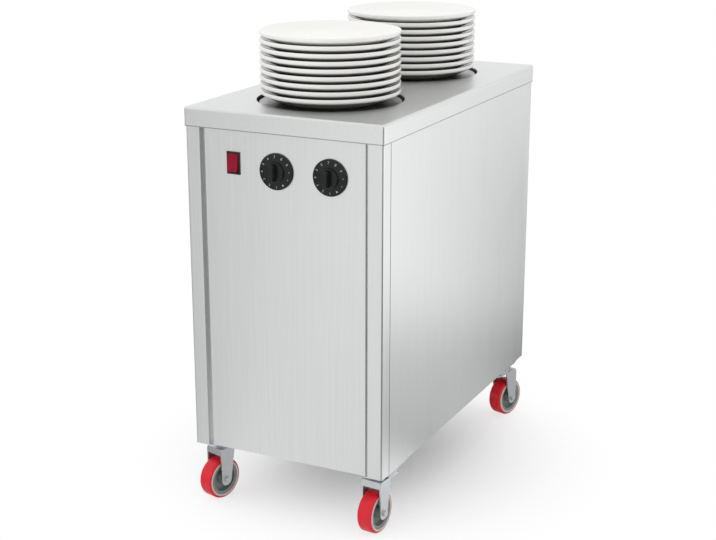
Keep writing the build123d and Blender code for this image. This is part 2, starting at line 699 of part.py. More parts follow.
def gland_place():
    """The gland's place on the rear panel, with its own Z out of the panel."""
    return Pos(GLAND_X, REAR_Y - SHEET, PAN_TOP + GLAND_HEIGHT) * Rot(-90, 0, 0)


def cable_gland():
    """Gland with a lock nut inside, a hexagon outside and a domed cap, bored for the cable."""
    body = rod(GLAND_RADIUS, -SHEET - GLAND_NUT, GLAND_NUT)
    body += hexagon(GLAND_NUT_RADIUS, 0, GLAND_NUT)
    body += hexagon(GLAND_NUT_RADIUS, -SHEET - GLAND_NUT, -SHEET)
    cap = rod(GLAND_CAP_RADIUS, GLAND_NUT, GLAND_REACH)
    body += fillet(cap.edges().group_by(Axis.Z)[-1], GLAND_CAP_ROUND)
    return gland_place() * (body - rod(GLAND_BORE, -SHEET - GLAND_NUT, GLAND_REACH))


# Casters


def caster_top_plates():
    """Plates with the raceway boss that the forks turn under."""
    pieces = []
    for name in CASTERS:
        flat = Pos(0, 0, CASTER_PLATE_LOW) * extrude(
            RectangleRounded(*CASTER_PLATE_SIZE, CASTER_PLATE_CORNER), CASTER_PLATE
        )
        top = flat + rod(RACE_RADIUS, RACE_LOW, CASTER_PLATE_LOW)
        top -= rod(KINGPIN_RADIUS + RUN_FIT, RACE_LOW, CABINET_LOW)
        for x, y in bolt_places():
            top -= rod(BOLT_HOLE, CASTER_PLATE_LOW, CABINET_LOW, x, y)
        pieces.append(caster_place(name) * top)
    return group(pieces)


def kingpins():
    """Pins fixed in the top plates, whose heads hold the forks up."""
    head_top = CROWN_LOW - RUN_GAP
    pin = rod(KINGPIN_HEAD_RADIUS, head_top - KINGPIN_HEAD, head_top)
    pin += rod(KINGPIN_RADIUS, head_top, CABINET_LOW)
    return group([caster_place(name) * pin for name in CASTERS])


def caster_bolts():
    """Bolts with heads under the caster plates and nuts on the rails."""
    pieces = []
    for name in CASTERS:
        for x, y in bolt_places():
            bolt = hexagon(BOLT_HEAD_RADIUS, CASTER_PLATE_LOW - BOLT_HEAD, CASTER_PLATE_LOW, x, y)
            bolt += rod(BOLT_RADIUS, CASTER_PLATE_LOW, RAIL_TOP, x, y)
            bolt += hexagon(BOLT_HEAD_RADIUS, RAIL_TOP, RAIL_TOP + BOLT_HEAD, x, y)
            pieces.append(caster_place(name) * bolt)
    return group(pieces)


def fork_place(name):
    """The caster's place, turned as it stands."""
    return caster_place(name) * Rot(0, 0, SWIVEL[name])


def axle_place(name):
    """The wheel's centre, with its own Z along the axle."""
    return fork_place(name) * Pos(0, CASTERS[name][1] * TRAIL, WHEEL_RADIUS) * Rot(0, 90, 0)


def caster_fork(name):
    """Crown that turns on the kingpin, with a hood over the tyre and two legs that taper down to the axle."""
    end = CASTERS[name][1]
    inner, outer = FORK_GAP / 2, FORK_GAP / 2 + FORK_SHEET
    front = TRAIL + FORK_BOSS
    crown = extrude(RectangleRounded(2 * outer, front + FORK_BACK, FORK_SHEET), CROWN)
    fork = Pos(0, end * (front - FORK_BACK) / 2, CROWN_LOW) * crown
    hood = sorted((end * (front - FORK_SHEET), end * front))
    fork += block((-inner, inner), hood, (CROWN_LOW - HOOD, CROWN_LOW))
    leg = Polyline(
        (0, end * FORK_LEG, CROWN_LOW),
        (0, end * front, CROWN_LOW),
        (0, end * front, WHEEL_RADIUS),
        (0, end * (TRAIL - FORK_BOSS), WHEEL_RADIUS),
        close=True,
    )
    for x in (-outer, inner):
        flat = extrude(make_face(leg), FORK_SHEET, dir=(1, 0, 0))
        boss = Pos(0, end * TRAIL, WHEEL_RADIUS) * Rot(0, 90, 0) * rod(FORK_BOSS, 0, FORK_SHEET)
        fork += Pos(x, 0, 0) * (flat + boss)
    fork -= rod(KINGPIN_RADIUS + RUN_FIT, CROWN_LOW, CROWN_TOP)
    fork = fork_place(name) * fork
    return fork - axle_place(name) * Cylinder(AXLE_RADIUS + RUN_FIT, 2 * outer)


def caster_axle(name):
    """Axle bolt with a hexagon at each end."""
    outer = FORK_GAP / 2 + FORK_SHEET
    bolt = rod(AXLE_RADIUS, -outer, outer)
    bolt += hexagon(AXLE_HEAD_RADIUS, outer, outer + AXLE_HEAD)
    bolt += hexagon(AXLE_HEAD_RADIUS, -outer - AXLE_HEAD, -outer)
    return axle_place(name) * bolt


def wheel_core(name):
    """Wheel core with hub, web and rim."""
    hub, web, rim = FORK_GAP / 2 - RUN_GAP, WEB / 2, CORE_WIDTH / 2
    rim_in = CORE_RADIUS - CORE_RIM
    bore = AXLE_RADIUS + RUN_FIT
    half = [(HUB_RADIUS, hub), (HUB_RADIUS, web), (rim_in, web), (rim_in, rim), (CORE_RADIUS, rim)]
    other = [(r, -z) for r, z in reversed(half)]
    return axle_place(name) * turned([(bore, hub), *half, *other, (bore, -hub)])


def wheel_tyre(name):
    """Tyre with rounded shoulders, round the core."""
    half = TYRE_WIDTH / 2
    tyre = rod(WHEEL_RADIUS, -half, half)
    tyre = fillet(tyre.edges().filter_by(GeomType.CIRCLE), TYRE_ROUND)
    return axle_place(name) * (tyre - rod(CORE_RADIUS + RUN_FIT, -half, half))


routes = capillary_routes()
nodes = {
    "top_deck": top_deck(),
    "front_panel": front_panel(),
    "rear_panel": rear_panel(),
    "front_post_left": front_post(-1),
    "front_post_right": front_post(1),
    "side_panel_left": side_panel(-1),
    "side_panel_right": side_panel(1),
    "rear_post_left": rear_post(-1),
    "rear_post_right": rear_post(1),
    "rear_panel_screws": rear_screws(),
    "base_pan": base_pan(),
    "base_rail_front": base_rail(-1),
    "base_rail_rear": base_rail(1),
    "heater_stands": heater_stands(),
    "thermostat_left": thermostat(KNOB_X[0]),
    "thermostat_right": thermostat(KNOB_X[1]),
    "thermostat_nuts": thermostat_nuts(),
    "thermostat_shaft_left": thermostat_shaft(KNOB_X[0]),
    "thermostat_shaft_right": thermostat_shaft(KNOB_X[1]),
    "knob_left": knob(KNOB_X[0]),
    "knob_right": knob(KNOB_X[1]),
    "switch_housing": switch_housing(),
    "switch_rocker": rocker(),
    "terminal_block": terminal_block(),
    "cable_gland": cable_gland(),
    "caster_top_plates": caster_top_plates(),
    "kingpins": kingpins(),
    "caster_bolts": caster_bolts(),
}
for well, place in WELLS.items():
    nodes[f"well_tube_{well}"] = place * well_tube()
    nodes[f"spring_hangers_{well}"] = place * spring_hangers()
    nodes[f"carrier_springs_{well}"] = place * carrier_springs()
    nodes[f"platform_{well}"] = place * platform()
    nodes[f"carrier_brackets_{well}"] = place * carrier_brackets()
    nodes[f"plates_{well}"] = place * plate_stack()
    nodes[f"heater_{well}"] = place * heater()
    nodes[f"capillary_{well}"] = capillary(routes[well])
for caster in CASTERS:
    nodes[f"fork_{caster}"] = caster_fork(caster)
    nodes[f"axle_{caster}"] = caster_axle(caster)
    nodes[f"wheel_core_{caster}"] = wheel_core(caster)
    nodes[f"tyre_{caster}"] = wheel_tyre(caster)

os.makedirs("parts", exist_ok=True)
for name, shape in nodes.items():
    export_step(shape, f"parts/{name}.step")
print(f"stroke {STROKE:.1f}, deck at {DECK_TOP:.1f}, wells {WELL_SPACING:.1f} apart")
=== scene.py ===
import json
import math

import bpy
import numpy as np
from bpy.props import FloatProperty, FloatVectorProperty, IntProperty, PointerProperty
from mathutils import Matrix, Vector


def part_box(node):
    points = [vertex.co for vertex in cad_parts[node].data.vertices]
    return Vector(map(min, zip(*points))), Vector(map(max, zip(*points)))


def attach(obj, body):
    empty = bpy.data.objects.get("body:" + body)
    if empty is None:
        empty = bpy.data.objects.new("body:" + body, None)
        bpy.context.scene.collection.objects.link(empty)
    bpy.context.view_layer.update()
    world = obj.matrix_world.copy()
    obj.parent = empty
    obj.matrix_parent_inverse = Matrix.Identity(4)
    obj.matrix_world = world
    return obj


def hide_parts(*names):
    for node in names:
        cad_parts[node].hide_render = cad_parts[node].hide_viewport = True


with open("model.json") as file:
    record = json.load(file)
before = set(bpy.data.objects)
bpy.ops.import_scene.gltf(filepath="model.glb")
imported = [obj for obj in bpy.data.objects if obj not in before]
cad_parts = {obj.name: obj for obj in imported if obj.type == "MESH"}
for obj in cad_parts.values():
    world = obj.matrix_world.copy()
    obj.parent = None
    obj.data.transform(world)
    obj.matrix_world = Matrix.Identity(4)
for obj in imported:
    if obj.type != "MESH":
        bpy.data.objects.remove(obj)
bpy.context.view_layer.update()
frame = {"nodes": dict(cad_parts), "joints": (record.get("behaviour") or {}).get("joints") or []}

bl_info = {
    "name": "Plate Warmer",
    "version": (1, 0, 0),
    "blender": (4, 5, 0),
    "location": "3D View > Sidebar > Plate Warmer",
    "description": "Dresses a heated two-stack plate dispenser on casters and sets up its studio",
    "category": "Object",
}

MM = 0.001
CASTERS = ("front_left", "front_right", "rear_left", "rear_right")
WELLS = ("front", "rear")
SIDES = ("left", "right")
JOINTS = {joint["name"]: joint for joint in frame["joints"]}


def linear(code):
    """Linear RGB of an sRGB hex code: c / 12.92 up to 0.04045, ((c + 0.055) / 1.055) ^ 2.4 above it."""
    c = np.array([int(code[i:i + 2], 16) for i in (0, 2, 4)]) / 255
    return tuple(np.where(c <= 0.04045, c / 12.92, ((c + 0.055) / 1.055) ** 2.4).tolist())


# Settings


class PlateSettings(bpy.types.PropertyGroup):
    """Plates"""

    diameter: FloatProperty(
        name="Diameter", description="Across the plate's rim", default=290 * MM, min=0.1, unit="LENGTH")
    foot_radius: FloatProperty(
        name="Foot radius", description="Outside of the foot ring", default=100 * MM, min=0.03, unit="LENGTH")
    foot_width: FloatProperty(
        name="Foot width", description="Width of the foot ring", default=8 * MM, unit="LENGTH")
    foot_height: FloatProperty(
        name="Foot height", description="Foot ring below the floor", default=9 * MM, unit="LENGTH")
    floor: FloatProperty(
        name="Floor thickness", description="Thickness of the plate's flat floor", default=6 * MM,
        unit="LENGTH")
    rise: FloatProperty(
        name="Rise", description="How far the face climbs from the floor to the rim", default=13 * MM,
        unit="LENGTH")
    rim_thickness: FloatProperty(
        name="Rim thickness", description="Thickness of the rim at its edge", default=8 * MM, unit="LENGTH")
    shade_width: FloatProperty(
        name="Shade width", description="How far in from the rim the gaps between plates turn dark",
        default=7 * MM, unit="LENGTH")
    count: IntProperty(name="Plates", description="Plates in each stack", default=9, min=1, max=20)
    glaze: FloatVectorProperty(
        name="Glaze", description="White glaze", default=linear("f2f2f0"), subtype="COLOR")
    # Painted shade: the colour painted on the glaze deep in the gaps between stacked plates
    gap: FloatVectorProperty(
        name="Gap", description="Glaze deep between two plates", default=linear("7f7e7c"), subtype="COLOR")


class ControlSettings(bpy.types.PropertyGroup):
    """Knobs and switch"""

    skirt_diameter: FloatProperty(
        name="Skirt diameter", description="Across the dial knob's skirt", default=74 * MM, unit="LENGTH")
    hub_radius: FloatProperty(
        name="Hub radius", description="Raised middle of the knob", default=21 * MM, unit="LENGTH")
    grip_length: FloatProperty(
        name="Grip length", description="Length of the raised grip", default=36 * MM, unit="LENGTH")
    grip_width: FloatProperty(
        name="Grip width", description="Width of the raised grip", default=12 * MM, unit="LENGTH")
    figure_height: FloatProperty(
        name="Figure height", description="Height of the dial's numbers", default=5.2 * MM, unit="LENGTH")
    first_mark: FloatProperty(
        name="First mark", description="Clockwise place of the dial's zero dot", default=math.radians(147),
        subtype="ANGLE", unit="ROTATION")
    rocker_width: FloatProperty(
        name="Rocker width", description="Across the rocker", default=23.4 * MM, unit="LENGTH")
    rocker_height: FloatProperty(
        name="Rocker height", description="Height of the rocker", default=37.6 * MM, unit="LENGTH")
    moulding: FloatVectorProperty(
        name="Moulding", description="Black mouldings", default=linear("1a1b1c"), subtype="COLOR")
    ink: FloatVectorProperty(name="Ink", description="Dial print", default=linear("aeaeaa"), subtype="COLOR")
    rocker: FloatVectorProperty(
        name="Rocker", description="Tinted rocker", default=linear("8a0526"), subtype="COLOR")


class SteelSettings(bpy.types.PropertyGroup):
    """Steel"""

    sheet: FloatVectorProperty(
        name="Sheet", description="Satin stainless sheet", default=linear("e2e3e3"), subtype="COLOR")
    inner: FloatVectorProperty(
        name="Inner sheet", description="Mill-finish sheet inside", default=linear("b9babb"), subtype="COLOR")
    zinc: FloatVectorProperty(
        name="Zinc", description="Zinc plating", default=linear("cfd2d4"), subtype="COLOR")
    grain_width: FloatProperty(
        name="Grain width", description="Width of one brushed streak as drawn", default=3 * MM, unit="LENGTH")
    grain_length: FloatProperty(
        name="Grain length", description="Length of one brushed streak as drawn", default=260 * MM,
        unit="LENGTH")


class CasterSettings(bpy.types.PropertyGroup):
    """Casters"""

    tyre: FloatVectorProperty(
        name="Tyre", description="Polyurethane tyre", default=linear("de1a2c"), subtype="COLOR")
    core: FloatVectorProperty(
        name="Core", description="Polyamide wheel core", default=linear("7f8984"), subtype="COLOR")
    bead: FloatVectorProperty(
        name="Bead", description="Pale bead beside the tyre", default=linear("c9bfbd"), subtype="COLOR")
    bead_radius: FloatProperty(
        name="Bead radius", description="Outside of the bead beside the tyre", default=40 * MM, unit="LENGTH")
    bead_width: FloatProperty(
        name="Bead width", description="Width of the bead beside the tyre", default=4.4 * MM, unit="LENGTH")
    race_radius: FloatProperty(
        name="Race radius", description="Outside of the ball race's cover", default=31 * MM, unit="LENGTH")


class StudioSettings(bpy.types.PropertyGroup):
    """Studio"""

    camera_place: FloatVectorProperty(
        name="Camera place", description="Where the camera stands", default=(1.3582, -2.8217, 1.3935),
        subtype="TRANSLATION", unit="LENGTH")
    camera_turn: FloatProperty(
        name="Camera turn", description="Camera's turn about the vertical", default=math.radians(26.297),
        subtype="ANGLE", unit="ROTATION")
    camera_dip: FloatProperty(
        name="Camera dip", description="Camera's look down from the level", default=math.radians(16.867),
        subtype="ANGLE", unit="ROTATION")
    lens: FloatProperty(
        name="Lens", description="Focal length on a 36 mm frame", default=72.67, min=10, unit="CAMERA")
    key: FloatProperty(name="Key lamp", description="Power of the key lamp", default=45, min=0, unit="POWER")
    key_size: FloatProperty(
        name="Key size", description="Side of the square key lamp", default=6, min=0.1, unit="LENGTH")
    key_place: FloatVectorProperty(
        name="Key place", description="Where the key lamp hangs", default=(-3.2, -4.2, 3.4),
        subtype="TRANSLATION", unit="LENGTH")
    horizon: FloatProperty(
        name="Horizon", description="Strength of the light from the horizon", default=0.8, min=0)
    zenith: FloatProperty(
        name="Zenith", description="Strength of the light from overhead", default=1.08, min=0)
    floor: FloatVectorProperty(
        name="Floor", description="Studio floor", default=linear("f6f6f6"), subtype="COLOR")
    # Levels of the floor's glow in mirrors: below 1 a painted shade, above 1 a painted light; under is a
    # painted shadow beneath the object
    room: FloatProperty(name="Room", description="Mirrored floor before the camera", default=0.15, min=0)
    left: FloatProperty(name="Left", description="Mirrored far floor on the left", default=0.55, min=0)
    right: FloatProperty(name="Right", description="Mirrored floor on the right", default=1.36, min=0, max=2)
    back: FloatProperty(name="Back", description="Mirrored floor on the right behind", default=0.53, min=0)
    corner: FloatProperty(name="Corner", description="Mirrored floor behind the object", default=0.65, min=0)
    lee: FloatProperty(name="Lee", description="Mirrored floor in the object's shade", default=0.5, min=0)
    beside: FloatProperty(name="Beside", description="Mirrored floor beside the object", default=0.75, min=0)
    under: FloatProperty(name="Under", description="Mirrored floor under the object", default=0.7, min=0)


# Meshes


def rounded(corners, cuts, steps=5):
    """Profile with each inner corner C replaced by the quadratic curve (1-t)^2 A + 2t(1-t) C + t^2 B, where A
    and B lie a cut before and after C on the straight runs. The two end points stay."""
    p = np.asarray(corners, float)
    c = np.asarray(cuts, float)[:, None]
    back, ahead = p[:-2] - p[1:-1], p[2:] - p[1:-1]
    a = p[1:-1] + back / np.linalg.norm(back, axis=1, keepdims=True) * c
    b = p[1:-1] + ahead / np.linalg.norm(ahead, axis=1, keepdims=True) * c
    t = np.linspace(0, 1, steps)[None, :, None]
    bends = (1 - t) ** 2 * a[:, None] + 2 * t * (1 - t) * p[1:-1][:, None] + t ** 2 * b[:, None]
    return np.concatenate([p[:1], bends.reshape(-1, 2), p[-1:]])


def lathe(profile, segments):
    """Rings of a solid of revolution: the point (r, z) goes to (r cos a, r sin a, z) for each angle a."""
    a = np.linspace(0, 2 * np.pi, segments, endpoint=False)
    r, z = profile[:, :1], profile[:, 1:]
    return np.stack([r * np.cos(a), r * np.sin(a), z + 0 * a], -1)


def closed(rings):
    """Vertices and faces of a closed skin: quads between neighbouring rings, and a fan from a middle point at
    each end. Rings run counter-clockwise about the way they are stacked, so the faces point outwards."""
    rows, cols = rings.shape[:2]
    verts = np.concatenate([rings.reshape(-1, 3), rings[:1].mean(1), rings[-1:].mean(1)])
    i = np.arange(rows - 1)[:, None] * cols
    j = np.arange(cols)[None]
    k = (j + 1) % cols
    quads = np.stack([i + j, i + k, i + k + cols, i + j + cols], -1).reshape(-1, 4)
    j, k, top = j[0], k[0], (rows - 1) * cols
    low = np.stack([k, j, np.full(cols, rows * cols)], -1)
    high = np.stack([top + j, top + k, np.full(cols, rows * cols + 1)], -1)
    return verts, quads.tolist() + low.tolist() + high.tolist()


def hooped(rings):
    """Vertices and faces of a hoop: the profile's last ring is its first, so its rows close on themselves."""
    rows, cols = rings.shape[0] - 1, rings.shape[1]
    i, j = np.arange(rows)[:, None], np.arange(cols)[None]
    k, n = (j + 1) % cols, (i + 1) % rows
    quads = np.stack([i * cols + j, i * cols + k, n * cols + k, n * cols + j], -1).reshape(-1, 4)
    return rings[:-1].reshape(-1, 3), quads.tolist()


def joined(skins):
    """Several (vertices, faces) skins as one, each one's faces counted on from the vertices before it."""
    start = np.cumsum([0] + [len(v) for v, f in skins[:-1]]).tolist()
    verts = np.concatenate([v for v, f in skins])
    return verts, [[s + i for i in face] for s, (v, faces) in zip(start, skins) for face in faces]


def stand_out(points, place):
    """A shape that stands up along Z, turned to stand out of the front panel: (x, y, z) to (x, -z, y)."""
    x, y, z = np.moveaxis(points, -1, 0)
    return np.stack([x, -z, y], -1) + place


def piece(name, skin, body, finish, sharp=40):
    """A finished piece at the origin, shaded smooth up to an angle in degrees, riding on a body of the
    frame."""
    verts, faces = skin
    mesh = bpy.data.meshes.new(name)
    mesh.from_pydata(verts.tolist(), [], faces)
    mesh.polygons.foreach_set("use_smooth", np.ones(len(mesh.polygons), bool))
    mesh.set_sharp_from_angle(angle=math.radians(sharp))
    mesh.materials.append(finish)
    if mesh.validate():
        raise RuntimeError(f"{name} has faces that do not hold")
    obj = bpy.data.objects.new(name, mesh)
    bpy.context.scene.collection.objects.link(obj)
    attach(obj, body)
    return obj


def dress(finish, *names):
    """Puts a finish on nodes of the frame."""
    for name in names:
        mesh = frame["nodes"][name].data
        mesh.materials.clear()
        mesh.materials.append(finish)


def middle(name):
    """Middle of a node's box at rest."""
    low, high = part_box(name)
    return (np.array(low) + np.array(high)) / 2


# Materials

# Sockets of a Mix node that mixes colours: its factor, its two colours and its result
FACTOR, FIRST, SECOND, MIXED = 0, 6, 7, 2


def node(tree, kind, inputs=None, **settings):
    """Adds a node with its settings. Each input is set to a value, or linked from another node's socket."""
    made = tree.nodes.new(kind)
    for name, value in settings.items():
        setattr(made, name, value)
    for name, value in (inputs or {}).items():
        if isinstance(value, bpy.types.NodeSocket):
            tree.links.new(value, made.inputs[name])
        else:
            made.inputs[name].default_value = value
    return made


def material(name, surface, *values):
    """A material whose surface a function works out from its node tree, its Object coordinates and values."""
    made = bpy.data.materials.new(name)
    made.use_nodes = True
    tree = made.node_tree
    tree.nodes.clear()
    place = node(tree, "ShaderNodeTexCoord").outputs["Object"]
    node(tree, "ShaderNodeOutputMaterial", {"Surface": surface(tree, place, *values)})
    return made


def tint(colour, amount=1.0):
    """A linear colour times an amount, with alpha."""
    return (*[min(1.0, c * amount) for c in colour], 1.0)


def clouds(tree, place, size, colours, detail=2, roughness=0.5):
    """Noise in clouds of a size, and the colour that it blends from a pair."""
    noise = node(tree, "ShaderNodeTexNoise", {
        "Vector": place, "Scale": 1 / size, "Detail": detail, "Roughness": roughness}).outputs["Fac"]
    blend = node(tree, "ShaderNodeMix", {
        FACTOR: noise, FIRST: colours[0], SECOND: colours[1]}, data_type="RGBA").outputs[MIXED]
    return noise, blend


def brushed_stainless(tree, place, colour, grain, width, length, shadow_line_height=None):
    """Austenitic stainless sheet with a belt-brushed satin face: a soft metal mirror, drawn out by fine
    parallel scratches along the grain (0, 1 or 2 for X, Y or Z). Real scratches are about 0.1 mm apart; they
    are drawn as streaks a few millimetres wide so that they show. Rolled sheet is never quite flat, so a slow
    wave 300 mm long bends the reflections, and handling clouds the gloss in patches 90 mm across. Where a
    sheet ends at a shadow line's height, a dark line about 2 mm high is painted there, a painted shadow line."""
    scale = [1 / width] * 3
    scale[grain] = 1 / length
    drawn = node(tree, "ShaderNodeMapping", {"Vector": place, "Scale": scale}).outputs[0]
    streaks, shade = clouds(
        tree, drawn, 1, (tint(colour, 0.88), tint(colour, 1.06)), detail=3, roughness=0.65)
    wave = node(tree, "ShaderNodeTexNoise", {
        "Vector": place, "Scale": 1 / (300 * MM), "Detail": 1}).outputs["Fac"]
    handling = node(tree, "ShaderNodeTexNoise", {
        "Vector": place, "Scale": 1 / (90 * MM), "Detail": 4, "Roughness": 0.6}).outputs["Fac"]
    # Painted shadow: the sheet's lowest 2 mm drawn at 0.4 of its colour, a shadow line along its lower edge
    if shadow_line_height is not None:
        height = node(tree, "ShaderNodeSeparateXYZ", {0: place}).outputs["Z"]
        edge = node(tree, "ShaderNodeMapRange", {
            "Value": height, "From Min": shadow_line_height + MM, "From Max": shadow_line_height + 2.2 * MM,
            "To Min": 1, "To Max": 0}).outputs[0]
        shade = node(tree, "ShaderNodeMix", {
            FACTOR: edge, FIRST: shade, SECOND: tint(colour, 0.4)}, data_type="RGBA").outputs[MIXED]
    gloss = node(tree, "ShaderNodeMapRange", {
        "Value": streaks, "From Min": 0.3, "From Max": 0.7, "To Min": 0.27, "To Max": 0.36}).outputs[0]
    gloss = node(tree, "ShaderNodeMath", {
        0: handling, 1: 0.05, 2: gloss}, operation="MULTIPLY_ADD").outputs[0]
    bend = node(tree, "ShaderNodeBump", {"Strength": 0.35, "Distance": 0.8 * MM, "Height": wave}).outputs[0]
    bump = node(tree, "ShaderNodeBump", {
        "Strength": 0.12, "Distance": 0.3 * MM, "Height": streaks, "Normal": bend}).outputs[0]
    return node(tree, "ShaderNodeBsdfPrincipled", {
        "Base Color": shade, "Metallic": 1, "Roughness": gloss, "Normal": bump}).outputs[0]


def mill_stainless(tree, place, colour):
    """Cold-rolled stainless as it leaves the mill: greyer and cloudier than brushed sheet, with faint
    blotches of roller oil 20 mm across."""
    cloud, shade = clouds(tree, place, 20 * MM, (tint(colour, 0.9), tint(colour)), detail=4, roughness=0.55)
    gloss = node(tree, "ShaderNodeMapRange", {
        "Value": cloud, "From Min": 0.3, "From Max": 0.7, "To Min": 0.28, "To Max": 0.42}).outputs[0]
    return node(tree, "ShaderNodeBsdfPrincipled", {
        "Base Color": shade, "Metallic": 1, "Roughness": gloss}).outputs[0]


def spring_wire(tree, place):
    """Drawn spring steel: close-wound turns of 2 mm wire are bumped in and drawn as bands up the coil, the
    dark bands a painted shade in the creases between turns. At a scale of 1 the bands are 2 pi / 20 m apart."""
    colour, pitch = linear("8b8c8e"), 2 * MM
    turns = node(tree, "ShaderNodeTexWave", {
        "Vector": place, "Scale": 2 * math.pi / (20 * pitch), "Distortion": 0}, wave_type="BANDS",
        bands_direction="Z", wave_profile="SIN").outputs["Fac"]
    # Painted shade: dark bands at a quarter of the steel's colour in the creases between the turns
    shade = node(tree, "ShaderNodeMix", {
        FACTOR: turns, FIRST: tint(colour, 0.25), SECOND: tint(colour)}, data_type="RGBA").outputs[MIXED]
    bump = node(tree, "ShaderNodeBump", {"Strength": 0.8, "Distance": 0.8 * MM, "Height": turns}).outputs[0]
    return node(tree, "ShaderNodeBsdfPrincipled", {
        "Base Color": shade, "Metallic": 1, "Roughness": 0.36, "Normal": bump}).outputs[0]


def heated_sheath(tree, place):
    """Nickel-iron heater sheath after use: a dull metal with straw and blue-grey oxide in patches 15 mm
    across."""
    oxide, straw = linear("4a4a50"), linear("86735c")
    patches = node(tree, "ShaderNodeTexNoise", {
        "Vector": place, "Scale": 1 / (15 * MM), "Detail": 3, "Roughness": 0.6}).outputs["Fac"]
    ramp = node(tree, "ShaderNodeValToRGB", {"Fac": patches})
    for stop, share, colour in zip(ramp.color_ramp.elements, (0.35, 0.65), (oxide, straw)):
        stop.position, stop.color = share, tint(colour)
    return node(tree, "ShaderNodeBsdfPrincipled", {
        "Base Color": ramp.outputs[0], "Metallic": 0.85, "Roughness": 0.48}).outputs[0]


def zinc_plate(tree, place, colour):
    """Bright zinc on pressed steel: a bluish silver whose crystals give soft clouds 6 mm across, with a
    dulled, slightly uneven gloss that drifts over 12 mm."""
    cells = node(tree, "ShaderNodeTexVoronoi", {"Vector": place, "Scale": 1 / (6 * MM)}).outputs["Color"]
    cloud = node(tree, "ShaderNodeTexNoise", {
        "Vector": place, "Scale": 1 / (12 * MM), "Detail": 4, "Roughness": 0.6}).outputs["Fac"]
    grey = node(tree, "ShaderNodeRGBToBW", {"Color": cells}).outputs[0]
    both = node(tree, "ShaderNodeMath", {0: grey, 1: 0.35, 2: cloud}, operation="MULTIPLY_ADD").outputs[0]
    shade = node(tree, "ShaderNodeMix", {
        FACTOR: both, FIRST: tint(colour, 0.84), SECOND: tint(colour)}, data_type="RGBA").outputs[MIXED]
    gloss = node(tree, "ShaderNodeMapRange", {
        "Value": both, "From Min": 0.2, "From Max": 1.1, "To Min": 0.24, "To Max": 0.4}).outputs[0]
    return node(tree, "ShaderNodeBsdfPrincipled", {
        "Base Color": shade, "Metallic": 1, "Roughness": gloss}).outputs[0]


def moulded_plastic(tree, place, colour, rough, grain, spread=0.12, shine=0.5):
    """Injection-moulded plastic: an even colour with a faint flow cloud 10 mm across, and the spark-eroded
    mould's fine grain breaking up its sheen."""
    _, shade = clouds(tree, place, 10 * MM, (tint(colour, 1 - spread), tint(colour, 1 + spread)))
    pits = node(tree, "ShaderNodeTexNoise", {"Vector": place, "Scale": 1 / grain, "Detail": 2}).outputs["Fac"]
    gloss = node(tree, "ShaderNodeMapRange", {
        "Value": pits, "From Min": 0.3, "From Max": 0.7,
        "To Min": rough - 0.05, "To Max": rough + 0.06}).outputs[0]
    bump = node(tree, "ShaderNodeBump", {"Strength": 0.18, "Distance": 0.1 * MM, "Height": pits}).outputs[0]
    return node(tree, "ShaderNodeBsdfPrincipled", {
        "Base Color": shade, "Roughness": gloss, "IOR": 1.5, "Specular IOR Level": shine,
        "Normal": bump}).outputs[0]


def tinted_polycarbonate(tree, place, colour):
    """Clear red polycarbonate over a dark switch body: deep crimson, glassy, with a faint inner cloud 4 mm
    across."""
    _, shade = clouds(tree, place, 4 * MM, (tint(colour, 0.85), tint(colour, 1.12)))
    return node(tree, "ShaderNodeBsdfPrincipled", {
        "Base Color": shade, "Roughness": 0.25, "IOR": 1.58, "Specular IOR Level": 0.12, "Coat Weight": 0.05,
        "Coat Roughness": 0.05}).outputs[0]


def cast_polyurethane(tree, place, colour):
    """Cast polyurethane tread: a saturated red with a waxy sheen, rolled a little matt and dusty in patches
    12 mm across."""
    wear, shade = clouds(
        tree, place, 12 * MM, (tint(colour, 1.06), tint(colour, 0.86)), detail=5, roughness=0.65)
    gloss = node(tree, "ShaderNodeMapRange", {
        "Value": wear, "From Min": 0.3, "From Max": 0.7, "To Min": 0.26, "To Max": 0.44}).outputs[0]
    bump = node(tree, "ShaderNodeBump", {"Strength": 0.1, "Distance": 0.3 * MM, "Height": wear}).outputs[0]
    return node(tree, "ShaderNodeBsdfPrincipled", {
        "Base Color": shade, "Roughness": gloss, "IOR": 1.5, "Specular IOR Level": 0.35,
        "Subsurface Weight": 0.08, "Subsurface Radius": (4 * MM, 0.8 * MM, 0.6 * MM), "Subsurface Scale": 1.0,
        "Normal": bump}).outputs[0]


def glazed_porcelain(tree, place, colour, gap):
    """Hotel porcelain under a clear glaze: cool white, glossy, with a glaze ripple 9 mm across and a body
    that is slightly warmer where the glaze lies thin, in patches 50 mm across. Between stacked plates the
    stack's attribute paints the glaze in the gap colour, a painted shade for the dark that such gaps show."""
    ripple = node(tree, "ShaderNodeTexNoise", {
        "Vector": place, "Scale": 1 / (9 * MM), "Detail": 2}).outputs["Fac"]
    between = node(tree, "ShaderNodeAttribute", attribute_name="between").outputs["Fac"]
    warm = [c * w for c, w in zip(colour, (0.985, 0.975, 0.955))]
    _, shade = clouds(tree, place, 50 * MM, (tint(colour), tint(warm)))
    shade = node(tree, "ShaderNodeMix", {
        FACTOR: between, FIRST: shade, SECOND: tint(gap)}, data_type="RGBA").outputs[MIXED]
    gloss = node(tree, "ShaderNodeMapRange", {
        "Value": ripple, "From Min": 0.3, "From Max": 0.7, "To Min": 0.12, "To Max": 0.18}).outputs[0]
    bump = node(tree, "ShaderNodeBump", {"Strength": 0.05, "Distance": 0.3 * MM, "Height": ripple}).outputs[0]
    return node(tree, "ShaderNodeBsdfPrincipled", {
        "Base Color": shade, "Roughness": gloss, "IOR": 1.52, "Coat Weight": 0.2, "Coat Roughness": 0.04,
        "Normal": bump}).outputs[0]


def drawn_copper(tree, place):
    """Drawn copper capillary: warm metal, browned in patches 8 mm across by heat and handling."""
    bright, browned = linear("c98a66"), linear("8f5a3e")
    _, shade = clouds(tree, place, 8 * MM, (tint(bright), tint(browned)), detail=3)
    return node(tree, "ShaderNodeBsdfPrincipled", {
        "Base Color": shade, "Metallic": 1, "Roughness": 0.32}).outputs[0]


# Operators


